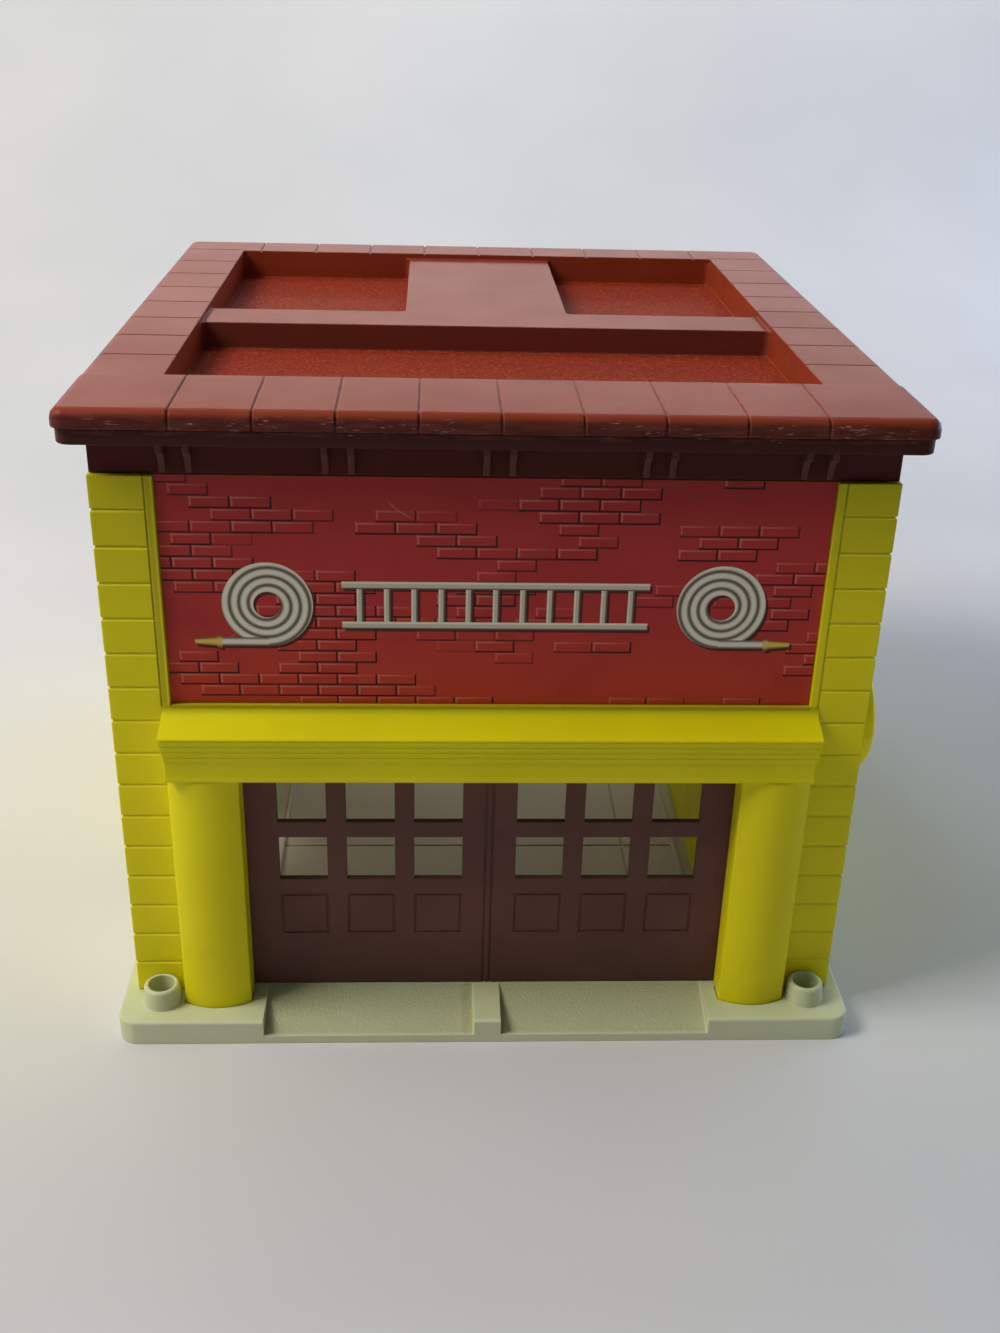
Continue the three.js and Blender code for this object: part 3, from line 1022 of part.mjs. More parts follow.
// Pin with a head at each end that hangs a striker on the carrier
function makeStrikerPin(side) {
  const z = DIAL_Z + side * STRIKER_PIN_REACH;
  const strikerNear = CARRIER_X - STRIKER_SIDE_GAP - STRIKER_THICKNESS;
  const headX = strikerNear - STRIKER_SIDE_GAP;
  const backX = CARRIER_X + CARRIER_THICKNESS + FIT_GAP;
  const points = [
    [0, headX - STRIKER_PIN_HEAD],
    [STRIKER_PIN_HEAD_RADIUS, headX - STRIKER_PIN_HEAD],
    [STRIKER_PIN_HEAD_RADIUS, headX],
    [STRIKER_PIN_RADIUS, headX],
    [STRIKER_PIN_RADIUS, backX],
    [STRIKER_PIN_HEAD_RADIUS, backX],
    [STRIKER_PIN_HEAD_RADIUS, backX + STRIKER_PIN_HEAD],
    [0, backX + STRIKER_PIN_HEAD],
  ];
  return turnedOnX(points, DIAL_Y, z, SCREW_SIDES);
}

// Striker: a drop-shaped weight that swings out and taps the gong as the carrier spins.
// The upper one is stored folded inwards and the lower one thrown out, as gravity leaves them.
function makeStriker(side) {
  const angle = THREE.MathUtils.degToRad(side > 0 ? STRIKER_FOLDED_DEGREES : STRIKER_THROWN_DEGREES);
  const x0 = CARRIER_X - STRIKER_SIDE_GAP - STRIKER_THICKNESS;
  const x1 = CARRIER_X - STRIKER_SIDE_GAP;
  const acrossY = side * Math.sin(angle);
  const acrossZ = side * Math.cos(angle);
  const pinZ = DIAL_Z + side * STRIKER_PIN_REACH;
  const weightY = DIAL_Y + STRIKER_ARM * acrossY;
  const weightZ = pinZ + STRIKER_ARM * acrossZ;
  const eye = rodOnX(STRIKER_EYE_RADIUS, x0, x1, DIAL_Y, pinZ);
  const weight = rodOnX(STRIKER_WEIGHT_RADIUS, x0, x1, weightY, weightZ);
  const neck = outline([
    [DIAL_Y - STRIKER_EYE_RADIUS * acrossZ, pinZ + STRIKER_EYE_RADIUS * acrossY],
    [DIAL_Y + STRIKER_EYE_RADIUS * acrossZ, pinZ - STRIKER_EYE_RADIUS * acrossY],
    [weightY + STRIKER_WEIGHT_RADIUS * acrossZ, weightZ - STRIKER_WEIGHT_RADIUS * acrossY],
    [weightY - STRIKER_WEIGHT_RADIUS * acrossZ, weightZ + STRIKER_WEIGHT_RADIUS * acrossY],
  ]);
  const holeRadius = STRIKER_PIN_RADIUS + FIT_GAP;
  const hole = rodOnX(holeRadius, x0 - CUT_OVERRUN, x1 + CUT_OVERRUN, DIAL_Y, pinZ, SCREW_SIDES);
  return cut(join(eye, weight, beamOf(neck, x0, x1)), hole);
}

// Coping body, drawn in by inset on its sides and top; the front row stands a little higher.
function copingBody(inset) {
  const half = COPING_HALF_WIDTH - inset;
  const front = COPING_FRONT_Y + inset;
  const back = COPING_BACK_Y - inset;
  const radius = COPING_CORNER_RADIUS;
  const whole = slabWithRoundTop(
    roundedRectangle(-half, half, front, back, radius),
    COPING_BOTTOM_Z, COPING_TOP_Z - inset, COPING_ROUND_IN, COPING_ROUND_DOWN,
  );
  const raised = slabWithRoundTop(
    roundedRectangle(-half, half, front, back, radius),
    COPING_BOTTOM_Z, COPING_TOP_Z + FRONT_ROW_RISE - inset, COPING_ROUND_IN, COPING_ROUND_DOWN,
  );
  const behind = block(
    -BASE_WIDTH, BASE_WIDTH,
    FRONT_ROW_BACK_Y, 2 * COPING_BACK_Y,
    COPING_BOTTOM_Z - CUT_OVERRUN, COPING_TOP_Z + FRONT_ROW_RISE + CUT_OVERRUN,
  );
  return join(whole, cut(raised, behind));
}

// Thin slabs where the joints between coping stones run
function copingJoints() {
  const halfWidth = COPING_GROOVE_WIDTH / 2;
  const z0 = COPING_BOTTOM_Z - CUT_OVERRUN;
  const z1 = COPING_TOP_Z + FRONT_ROW_RISE + CUT_OVERRUN;
  const joints = [];
  for (let i = 0; i <= FRONT_BLOCKS; i += 1) {
    const x = (i - FRONT_BLOCKS / 2) * COPING_BLOCK_PITCH;
    joints.push(block(x - halfWidth, x + halfWidth, 0, FRONT_ROW_BACK_Y, z0, z1));
    joints.push(block(x - halfWidth, x + halfWidth, TRAY_BACK_Y, COPING_BACK_Y + CUT_OVERRUN, z0, z1));
  }
  for (const side of [-1, 1]) {
    const inner = side * TRAY_HALF_WIDTH;
    const outer = side * (COPING_HALF_WIDTH + CUT_OVERRUN);
    for (let i = 1; i <= SIDE_BLOCKS; i += 1) {
      const y = FRONT_ROW_BACK_Y + i * SIDE_BLOCK_PITCH;
      joints.push(block(inner, outer, y - halfWidth, y + halfWidth, z0, z1));
    }
  }
  return joints;
}

// Roof cap: coping stones round three sunk trays, a cross bar and a middle panel, hollow beneath
function makeRoofCap() {
  const wellHalf = TRAY_HALF_WIDTH + TRAY_SKIN;
  const well = block(
    -wellHalf, wellHalf, TRAY_FRONT_Y - TRAY_SKIN, TRAY_BACK_Y + TRAY_SKIN,
    TRAY_FLOOR_Z - TRAY_SKIN, COPING_BOTTOM_Z + CUT_OVERRUN,
  );
  const inset = copingBody(COPING_GROOVE_DEPTH);
  const grooves = copingJoints().map((joint) => joint.subtract(inset));
  let cap = join(cut(copingBody(0), grooves), well);

  const trayTop = COPING_TOP_Z + FRONT_ROW_RISE + CUT_OVERRUN;
  cap = cut(cap, block(
    -TRAY_HALF_WIDTH, TRAY_HALF_WIDTH, TRAY_FRONT_Y, TRAY_BACK_Y, BAR_TOP_Z, trayTop,
  ));
  const trays = [
    [-TRAY_HALF_WIDTH, TRAY_HALF_WIDTH, TRAY_FRONT_Y, BAR_FRONT_Y],
    [-TRAY_HALF_WIDTH, -PANEL_HALF_WIDTH, BAR_BACK_Y, TRAY_BACK_Y],
    [PANEL_HALF_WIDTH, TRAY_HALF_WIDTH, BAR_BACK_Y, TRAY_BACK_Y],
  ];
  for (const tray of trays) {
    const plan = roundedRectangle(...tray, TRAY_CORNER_RADIUS);
    cap = cut(cap, towerOf(plan, TRAY_FLOOR_Z, trayTop, BEVEL_STEPS));
  }
  const hollowTop = BAR_TOP_Z - TRAY_SKIN;
  const hollowFloor = TRAY_FLOOR_Z - TRAY_SKIN - CUT_OVERRUN;
  const barHalf = TRAY_HALF_WIDTH - TRAY_SKIN;
  const panelHalf = PANEL_HALF_WIDTH - TRAY_SKIN;
  const barHollow = block(
    -barHalf, barHalf,
    BAR_FRONT_Y + TRAY_SKIN, BAR_BACK_Y - TRAY_SKIN,
    hollowFloor, hollowTop,
  );
  const panelHollow = block(
    -panelHalf, panelHalf,
    BAR_BACK_Y - 2 * TRAY_SKIN, TRAY_BACK_Y - TRAY_SKIN,
    hollowFloor, hollowTop,
  );
  cap = cut(cap, barHollow, panelHollow);
  for (const [x, y] of roofScrewPlaces) {
    const foot = ROOF_TAB_TOP_Z + FIT_GAP;
    const boss = rodOnZ(ROOF_BOSS_RADIUS, foot, COPING_BOTTOM_Z + CUT_OVERRUN, x, y);
    cap = cut(join(cap, boss), screwHoleOnZ(x, y, foot - CUT_OVERRUN, foot + ROOF_SCREW_LENGTH));
  }
  return cap;
}

// A small corbel under the slab: straight nose, then a curve back to the frieze
function bracketOutline(friezeY) {
  const noseY = friezeY - BRACKET_REACH;
  const shape = new THREE.Shape();
  shape.moveTo(friezeY + CUT_OVERRUN, SLAB_BOTTOM_Z + CUT_OVERRUN);
  shape.lineTo(noseY, SLAB_BOTTOM_Z + CUT_OVERRUN);
  shape.lineTo(noseY, SLAB_BOTTOM_Z - BRACKET_NOSE);
  shape.quadraticCurveTo(
    friezeY - BRACKET_REACH / 3, SLAB_BOTTOM_Z - BRACKET_NOSE,
    friezeY - BRACKET_REACH / 4, SLAB_BOTTOM_Z - BRACKET_HEIGHT,
  );
  shape.lineTo(friezeY + CUT_OVERRUN, SLAB_BOTTOM_Z - BRACKET_HEIGHT);
  return shape;
}

// Roof skirt: the slab under the coping, the frieze with its brackets and the lip inside the walls
function makeRoofSkirt() {
  const slabHalf = COPING_HALF_WIDTH - SLAB_SETBACK;
  const slabFront = COPING_FRONT_Y + SLAB_SETBACK;
  const slabBack = COPING_BACK_Y - SLAB_SETBACK;
  const slabPlan = roundedRectangle(-slabHalf, slabHalf, slabFront, slabBack, COPING_CORNER_RADIUS);
  const slab = towerOf(slabPlan, SLAB_BOTTOM_Z, SLAB_TOP_Z, BEVEL_STEPS);
  const friezeHalf = BODY_HALF - FRIEZE_SIDE_INSET;
  const friezeFront = WALL_FRONT_Y + FRIEZE_FRONT_INSET;
  const friezeBack = WALL_BACK_Y - FRIEZE_FRONT_INSET;
  const friezeBottom = WALL_TOP_Z + FIT_GAP;
  const lipBottom = friezeBottom - LIP_DROP;
  const frieze = block(-friezeHalf, friezeHalf, friezeFront, friezeBack, friezeBottom, SLAB_TOP_Z);
  const lip = block(-LIP_OUTER_X, LIP_OUTER_X, LIP_FRONT_Y, LIP_BACK_Y, lipBottom, SLAB_TOP_Z);
  const hollowHalf = LIP_OUTER_X - LIP_SKIN;
  const hollowFront = LIP_FRONT_Y + LIP_SKIN;
  const hollowBack = LIP_BACK_Y - LIP_SKIN;
  const openFoot = lipBottom - CUT_OVERRUN;
  const hollow = block(-hollowHalf, hollowHalf, hollowFront, hollowBack, openFoot, SLAB_BOTTOM_Z);
  const throatHalf = hollowHalf - SLAB_SHELF;
  const throat = block(
    -throatHalf, throatHalf, hollowFront + SLAB_SHELF, hollowBack - SLAB_SHELF / 2,
    SLAB_BOTTOM_Z - CUT_OVERRUN, SLAB_TOP_Z + CUT_OVERRUN,
  );
  let skirt = cut(join(slab, frieze, lip), hollow, throat);
  const shape = bracketOutline(friezeFront);
  for (let pair = 0; pair < BRACKET_PAIRS; pair += 1) {
    const centerX = (pair - (BRACKET_PAIRS - 1) / 2) * 2 * COPING_BLOCK_PITCH;
    for (const side of [-1, 1]) {
      const x = centerX + side * (BRACKET_SPACING / 2);
      skirt = join(skirt, beamOf(shape, x - BRACKET_WIDTH / 2, x + BRACKET_WIDTH / 2, BEVEL_STEPS));
    }
  }
  return skirt;
}

// The assembled station
const part = new THREE.Group();
const station = new THREE.Group();
station.position.y = -BASE_DEPTH / 2;
part.add(station);

function addPiece(name, solid, material) {
  const mesh = new THREE.Mesh(geometryFrom(solid), material);
  mesh.name = name;
  station.add(mesh);
}

addPiece("base", makeBase(), sageGrey);
addPiece("left_wall", makeLeftWall(), lemonYellow);
addPiece("right_wall", makeRightWall(), lemonYellow);
addPiece("front_wall", makeFrontWall(), lemonYellow);
addPiece("sign_panel", makeSign(), printedSheet);
addPiece("canopy", makeCanopy(), lemonYellow);
addPiece("left_column", makeColumn(-1), lemonYellow);
addPiece("right_column", makeColumn(1), lemonYellow);
addPiece("upper_floor", makeUpperFloor(), sageGrey);
addPiece("roof_cap", makeRoofCap(), maroon);
addPiece("roof_skirt", makeRoofSkirt(), maroon);
addPiece("garage_door", makeDoor(), doorMaroon);
addPiece("door_rod", makeDoorRod(), steel);
addPiece("bell_housing", makeBellHousing(), lemonYellow);
addPiece("gong", makeGong(), steel);
addPiece("gong_screw", makeGongScrew(), steel);
addPiece("alarm_dial", makeDial(), lemonYellow);
addPiece("dial_shaft", makeDialShaft(), steel);
addPiece("shaft_clip", makeShaftClip(), steel);
addPiece("striker_carrier", makeCarrier(), steel);
for (const [label, side] of [["upper", 1], ["lower", -1]]) {
  addPiece(`${label}_striker`, makeStriker(side), steel);
  addPiece(`${label}_striker_pin`, makeStrikerPin(side), steel);
}
baseScrewPlaces.forEach(([x, y], i) => {
  addPiece(`base_screw_${i + 1}`, uprightScrew(x, y, BASE_SKIN, BASE_SCREW_LENGTH), steel);
});
roofScrewPlaces.forEach(([x, y], i) => {
  const headZ = ROOF_TAB_TOP_Z - ROOF_TAB_THICKNESS - FIT_GAP - SCREW_HEAD_HEIGHT;
  addPiece(`roof_screw_${i + 1}`, uprightScrew(x, y, headZ, ROOF_SCREW_LENGTH), steel);
});

export default part;
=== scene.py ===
# %% [markdown]
# # Dressing a toy fire station
#
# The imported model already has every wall, stone and screw in its place, in metres.
# This lesson gives those pieces soft moulded edges and the finishes of an old plastic toy,
# then sets up the floor, the light and the camera of a plain tabletop photograph.

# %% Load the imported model
import json
import math

import bmesh
import bpy
from mathutils import Matrix, Vector


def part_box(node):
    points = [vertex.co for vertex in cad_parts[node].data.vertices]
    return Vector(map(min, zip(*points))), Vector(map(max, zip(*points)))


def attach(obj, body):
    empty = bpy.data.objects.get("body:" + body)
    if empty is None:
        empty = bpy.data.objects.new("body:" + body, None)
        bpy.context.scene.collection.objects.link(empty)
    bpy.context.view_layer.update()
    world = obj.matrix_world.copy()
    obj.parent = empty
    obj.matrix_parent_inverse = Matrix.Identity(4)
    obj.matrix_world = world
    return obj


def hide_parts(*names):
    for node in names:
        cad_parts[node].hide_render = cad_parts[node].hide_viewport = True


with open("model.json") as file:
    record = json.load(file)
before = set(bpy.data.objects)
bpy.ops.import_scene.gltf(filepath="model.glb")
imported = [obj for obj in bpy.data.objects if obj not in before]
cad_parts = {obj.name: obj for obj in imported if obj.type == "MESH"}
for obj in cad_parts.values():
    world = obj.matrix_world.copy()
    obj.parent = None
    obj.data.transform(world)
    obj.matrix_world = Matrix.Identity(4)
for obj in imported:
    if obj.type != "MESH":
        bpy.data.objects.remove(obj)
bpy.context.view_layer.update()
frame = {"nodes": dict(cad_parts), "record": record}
nodes = frame["nodes"]
MM = 0.001
body_of_node = {
    name: body for body, names in frame["record"]["behaviour"]["bodies"].items() for name in names
}

# %% [markdown]
# ## The camera
#
# A camera could be matched to a photograph by eye, but each small mistake would come back as
# a wrong width somewhere. Here its place was solved from the straight edges in the picture.
# Blender wants the result as a place, three axes and a focal length. The image is 1000 by
# 1333 pixels, so a focal length in pixels becomes millimetres on a 36 mm long side.

# %% Camera
IMAGE_LONG_SIDE = 1333
FOCAL_PIXELS = 1452.1
SENSOR_MM = 36.0
NEAREST, FARTHEST = 0.01, 60.0
CAMERA_PLACE = Vector((-0.0215, -0.5712, 0.3604))
CAMERA_RIGHT = Vector((0.998854, -0.040370, 0.025702))
CAMERA_UP = Vector((-0.005360, 0.439298, 0.898325))

camera_data = bpy.data.cameras.new("camera")
camera_data.sensor_width = SENSOR_MM
camera_data.lens = FOCAL_PIXELS / IMAGE_LONG_SIDE * SENSOR_MM
camera_data.clip_start = NEAREST
camera_data.clip_end = FARTHEST
camera = bpy.data.objects.new("camera", camera_data)
bpy.context.scene.collection.objects.link(camera)
camera_back = CAMERA_RIGHT.cross(CAMERA_UP)
camera.matrix_world = Matrix((
    (CAMERA_RIGHT.x, CAMERA_UP.x, camera_back.x, CAMERA_PLACE.x),
    (CAMERA_RIGHT.y, CAMERA_UP.y, camera_back.y, CAMERA_PLACE.y),
    (CAMERA_RIGHT.z, CAMERA_UP.z, camera_back.z, CAMERA_PLACE.z),
    (0.0, 0.0, 0.0, 1.0),
))
bpy.context.scene.camera = camera
print("lens in mm:", round(camera_data.lens, 2))

# %% [markdown]
# ## Shader sums in plain Python
#
# A node tree for wear or grain is mostly arithmetic, and arithmetic is hard to read as boxes
# and wires. The class below wraps one output socket and answers to +, -, * and /, so that
# `1 - mask * 0.5` adds the two Math nodes for us.

# %% A socket that does sums
class Value:
    """One output socket; each operator adds a Math node and returns its result."""

    def __init__(self, finish, socket):
        self.finish = finish
        self.socket = socket

    def sum(self, operation, first, second):
        return self.finish.node("ShaderNodeMath", {"operation": operation}, {0: first, 1: second})

    def __add__(self, other):
        return self.sum("ADD", self, other)

    def __radd__(self, other):
        return self.sum("ADD", other, self)

    def __sub__(self, other):
        return self.sum("SUBTRACT", self, other)

    def __rsub__(self, other):
        return self.sum("SUBTRACT", other, self)

    def __mul__(self, other):
        return self.sum("MULTIPLY", self, other)

    def __rmul__(self, other):
        return self.sum("MULTIPLY", other, self)

    def __truediv__(self, other):
        return self.sum("DIVIDE", self, other)

    def __rtruediv__(self, other):
        return self.sum("DIVIDE", other, self)


# %% [markdown]
# Every other node comes from one method. It sets the node's own options first, because they
# decide which sockets there are, and then fills the sockets with numbers or with links.

# %% A finish under construction
class Finish:
    """A material and its node tree."""

    def __init__(self, name):
        self.material = bpy.data.materials.new(name)
        self.material.use_nodes = True
        self.tree = self.material.node_tree
        self.tree.nodes.clear()

    def node(self, kind, settings=None, sockets=None, output=0):
        """Adds a node and returns the output asked for: one, a tuple of several, or None."""
        made = self.tree.nodes.new(kind)
        for key, value in (settings or {}).items():
            setattr(made, key, value)
        for key, value in (sockets or {}).items():
            if isinstance(value, Value):
                self.tree.links.new(value.socket, made.inputs[key])
            else:
                made.inputs[key].default_value = value
        if output is None:
            return None
        if isinstance(output, tuple):
            return [Value(self, made.outputs[key]) for key in output]
        return Value(self, made.outputs[output])

    def surface(self, colour, roughness, normal, metallic=0.0, fixed=None):
        """Ends the tree in a Principled surface; `fixed` is the same all over."""
        sockets = {
            "Base Color": colour, "Roughness": roughness, "Metallic": metallic, "Normal": normal,
        }
        sockets.update(fixed or {})
        shader = self.node("ShaderNodeBsdfPrincipled", {}, sockets)
        self.node("ShaderNodeOutputMaterial", {}, {"Surface": shader}, output=None)
        print("finish:", self.material.name, "-", len(self.tree.nodes), "nodes")
        return self.material


# %% [markdown]
# A few words for what a painter of plastic needs: a soft threshold, a band, noise of a size
# given in millimetres, and one colour laid over another through a mask.

# %% Words for masks and colours
def rise(value, low, high):
    """0 below low, 1 above high, smooth between."""
    return value.finish.node(
        "ShaderNodeMapRange", {"interpolation_type": "SMOOTHSTEP"},
        {"Value": value, "From Min": low, "From Max": high, "To Min": 0.0, "To Max": 1.0},
    )


def band(value, low, high, soft):
    """1 between low and high, with soft edges."""
    return rise(value, low - soft, low + soft) * (1.0 - rise(value, high - soft, high + soft))


def maths(operation, first, second=0.0):
    """A Math node whose operation has no Python sign."""
    return first.finish.node("ShaderNodeMath", {"operation": operation}, {0: first, 1: second})


def spread(finish, place, size_mm, detail=2.0, seed=0.0):
    """Noise whose blotches are about size_mm across, from 0 to 1."""
    return finish.node(
        "ShaderNodeTexNoise", {"noise_dimensions": "4D"},
        {"Vector": place, "W": seed, "Scale": 1.0 / (size_mm * MM), "Detail": detail,
         "Roughness": 0.55},
    )


def laid_over(mask, below, above):
    """The colour `above` over `below`, where mask is 1."""
    return mask.finish.node(
        "ShaderNodeMix", {"data_type": "RGBA"}, {0: mask, 6: below, 7: above}, output=2,
    )


def stretched(finish, place, x, y, z):
    """The same place with each axis multiplied, so that noise on it runs long one way."""
    return finish.node(
        "ShaderNodeVectorMath", {"operation": "MULTIPLY"}, {0: place, 1: (x, y, z)},
    )


def shade(red, green, blue):
    return (red, green, blue, 1.0)


# %% [markdown]
# ## Moulded edges
#
# No moulded plastic edge is perfectly sharp. On the toy the radius is a few tenths of a
# millimetre, just enough to catch a thin line of light. A Bevel modifier gives that line, and
# a Weighted Normal modifier keeps the big faces flat. Meshes built with bmesh become pieces
# in the same few steps each time, so those steps are words of their own.

# %% Words for pieces
def piece_from(sheet, name):
    """Turns a bmesh into an object of this name, and frees the bmesh."""
    data = bpy.data.meshes.new(name)
    sheet.to_mesh(data)
    sheet.free()
    piece = bpy.data.objects.new(name, data)
    bpy.context.scene.collection.objects.link(piece)
    return piece


def moulded_edge(piece, width_mm, sharp_degrees, flatness):
    """Rounds the edges that are sharper than an angle, and keeps the big faces flat."""
    bevel = piece.modifiers.new("moulded edge", "BEVEL")
    bevel.width = width_mm * MM
    bevel.segments = 2
    bevel.limit_method = "ANGLE"
    bevel.angle_limit = math.radians(sharp_degrees)
    normals = piece.modifiers.new("flat faces stay flat", "WEIGHTED_NORMAL")
    normals.keep_sharp = True
    normals.weight = flatness


# %% [markdown]
# The edges could be rounded by hand, but that would have to be done again after each change
# of a solid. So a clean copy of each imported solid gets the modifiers: double points are merged
# first, and faces that lie in one plane are joined. The copy rides on the same body and
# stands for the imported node.

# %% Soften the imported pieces
SOLID_WELD = 0.002 * MM
SOLID_FLAT_DEGREES = 0.4
SOLID_SHARP_DEGREES = 32.0
SOLID_FLATNESS = 80


def soften(node, width_mm):
    sheet = bmesh.new()
    sheet.from_mesh(nodes[node].data)
    bmesh.ops.remove_doubles(sheet, verts=sheet.verts, dist=SOLID_WELD)
    bmesh.ops.dissolve_limit(
        sheet, angle_limit=math.radians(SOLID_FLAT_DEGREES), use_dissolve_boundaries=False,
        verts=sheet.verts, edges=sheet.edges,
    )
    for face in sheet.faces:
        face.smooth = True
    piece = piece_from(sheet, node + "_moulded")
    moulded_edge(piece, width_mm, SOLID_SHARP_DEGREES, SOLID_FLATNESS)
    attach(piece, body_of_node[node])
    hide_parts(node)
    return piece


softened = {}
for node, width_mm, slot in (
    ("base", 0.35, "base_grey"),
    ("left_wall", 0.25, "wall_yellow"),
    ("right_wall", 0.25, "wall_yellow"),
    ("front_wall", 0.25, "wall_yellow"),
    ("left_column", 0.3, "wall_yellow"),
    ("right_column", 0.3, "wall_yellow"),
    ("upper_floor", 0.4, "base_grey"),
    ("roof_cap", 0.25, "roof_maroon"),
    ("roof_skirt", 0.3, "roof_maroon"),
    ("garage_door", 0.2, "door_maroon"),
    ("bell_housing", 0.4, "wall_yellow"),
    ("alarm_dial", 0.3, "dial_yellow"),
):
    softened[node] = soften(node, width_mm)
print("softened:", {name: len(piece.data.polygons) for name, piece in softened.items()})

# %% [markdown]
# ## Seam beside the sign
#
# The front wall and the side walls are moulded apart and meet beside the sign. On the toy
# their seam is a soft groove in yellow, not a gap that light falls into. The walls could be
# joined in one mesh, but they are parts of their own, so a thin slip of plastic sits a little
# way down in the seam instead. Its front edge is folded to a shallow V.

# %% Seam slips
front_low, front_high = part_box("front_wall")
sign_low, sign_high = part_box("sign_panel")
SEAM_FOLD = 0.12 * MM
SEAM_IN = front_high[0] - 0.05 * MM
SEAM_OUT = SEAM_IN + 0.40 * MM
SEAM_MIDDLE = (SEAM_IN + SEAM_OUT) / 2
SEAM_FRONT = front_low[1] + 0.22 * MM
SEAM_BACK = front_low[1] + 2.0 * MM


def seam_slip(name, side):
    sheet = bmesh.new()
    outline = [
        (SEAM_IN, SEAM_BACK), (SEAM_IN, SEAM_FRONT), (SEAM_MIDDLE, SEAM_FRONT + SEAM_FOLD),
        (SEAM_OUT, SEAM_FRONT), (SEAM_OUT, SEAM_BACK),
    ]
    face = sheet.faces.new([sheet.verts.new((side * x, y, sign_low[2])) for x, y in outline])
    raised = bmesh.ops.extrude_face_region(sheet, geom=[face])["geom"]
    bmesh.ops.translate(
        sheet, vec=Vector((0.0, 0.0, sign_high[2] - sign_low[2])),
        verts=[corner for corner in raised if isinstance(corner, bmesh.types.BMVert)],
    )
    bmesh.ops.recalc_face_normals(sheet, faces=sheet.faces)
    slip = piece_from(sheet, name)
    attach(slip, body_of_node["front_wall"])
    return slip


slips = [seam_slip("left_seam_slip", -1.0), seam_slip("right_seam_slip", 1.0)]
print("seam slips:", [slip.name for slip in slips])

# %% [markdown]
# ## Canopy over the doorway
#
# The front of the canopy is reeded: four soft half-round ribs that lean out towards the
# ridge, over a plain band with a slight swell at its foot. Above the ridge the top slopes
# back and sweeps up into the wall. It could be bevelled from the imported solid, but its reeds
# want to be round all the way, so it is built afresh from its outline in side view. That
# outline is a list of pairs: how far out from the wall, and how high.

# %% Canopy outline
canopy_low, canopy_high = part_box("canopy")
SOFFIT_REACH = 1.5 * MM
SOFFIT_THICKNESS = 1.7 * MM
CANOPY_BACK = canopy_high[1] - SOFFIT_REACH
CANOPY_OUT = CANOPY_BACK - canopy_low[1]
CANOPY_TALL = canopy_high[2] - canopy_low[2]
BAND_OUT = CANOPY_OUT - 1.5 * MM
FOOT_SWELL = ((0.22, 0.0), (0.36, 0.35), (0.30, 0.95), (0.10, 1.75), (0.0, 2.3))
REEDS_FROM, REEDS_TO = 7.5 * MM, 16.3 * MM
REED_COUNT, REED_STEPS = 4, 6
REED_SWELL = 0.34 * MM
REEDS_SHORT_OF_RIDGE = 0.35 * MM
RIDGE_ROUND = ((0.30, 16.3), (0.05, 16.6), (0.0, 16.9), (0.12, 17.2), (0.50, 17.45))
COVE_OUT, COVE_FROM, COVE_BEND = 2.4 * MM, 20.4 * MM, 21.4 * MM
COVE_STEPS = 8
THINNEST = 0.1 * MM


def canopy_profile():
    pairs = [(BAND_OUT + out * MM, up * MM) for out, up in FOOT_SWELL]
    pitch = (REEDS_TO - REEDS_FROM) / REED_COUNT
    lean = (CANOPY_OUT - REEDS_SHORT_OF_RIDGE - BAND_OUT) / (REEDS_TO - REEDS_FROM)
    for reed in range(REED_COUNT):
        for step in range(REED_STEPS):
            turn = math.pi * step / REED_STEPS
            up = REEDS_FROM + pitch * (reed + (1.0 - math.cos(turn)) / 2.0)
            out = BAND_OUT + lean * (up - REEDS_FROM) + REED_SWELL * math.sin(turn)
            pairs.append((out, up))
    pairs += [(CANOPY_OUT - back * MM, up * MM) for back, up in RIDGE_ROUND]
    for step in range(COVE_STEPS + 1):
        share = step / COVE_STEPS
        rest = 1.0 - share
        up = COVE_FROM * rest ** 2 + COVE_BEND * 2.0 * share * rest + CANOPY_TALL * share ** 2
        pairs.append((max(COVE_OUT * rest ** 2, THINNEST), up))
    return pairs


print("canopy outline:", len(canopy_profile()), "pairs")

# %% [markdown]
# Each pair becomes a ring, a rectangle at one height. Below the ridge it is drawn in at both
# ends by as much as its front stands back, so the reeds return round the ends. A thin soffit
# behind, in the same mesh, closes the gap over the door.

# %% Canopy skin
RIDGE_HEIGHT = 17.0 * MM
SOFFIT_SIDE = 0.2 * MM
CANOPY_EDGE_MM = 0.10
CANOPY_SHARP_DEGREES = 50.0
CANOPY_FLATNESS = 50


def stack_rings(sheet, rings):
    """Closed skin over a pile of four-cornered rings."""
    rows = [[sheet.verts.new(corner) for corner in ring] for ring in rings]
    for lower, upper in zip(rows, rows[1:]):
        for step in range(4):
            following = (step + 1) % 4
            sheet.faces.new((lower[step], lower[following], upper[following], upper[step]))
    sheet.faces.new(list(reversed(rows[0])))
    sheet.faces.new(rows[-1])


def level_ring(half, front, back, height):
    return [(-half, front, height), (half, front, height), (half, back, height),
            (-half, back, height)]


def canopy_ring(out, up):
    drawn_in = CANOPY_OUT - out if up < RIDGE_HEIGHT else 0.0
    return level_ring(
        canopy_high[0] - drawn_in, CANOPY_BACK - out, CANOPY_BACK, canopy_low[2] + up,
    )


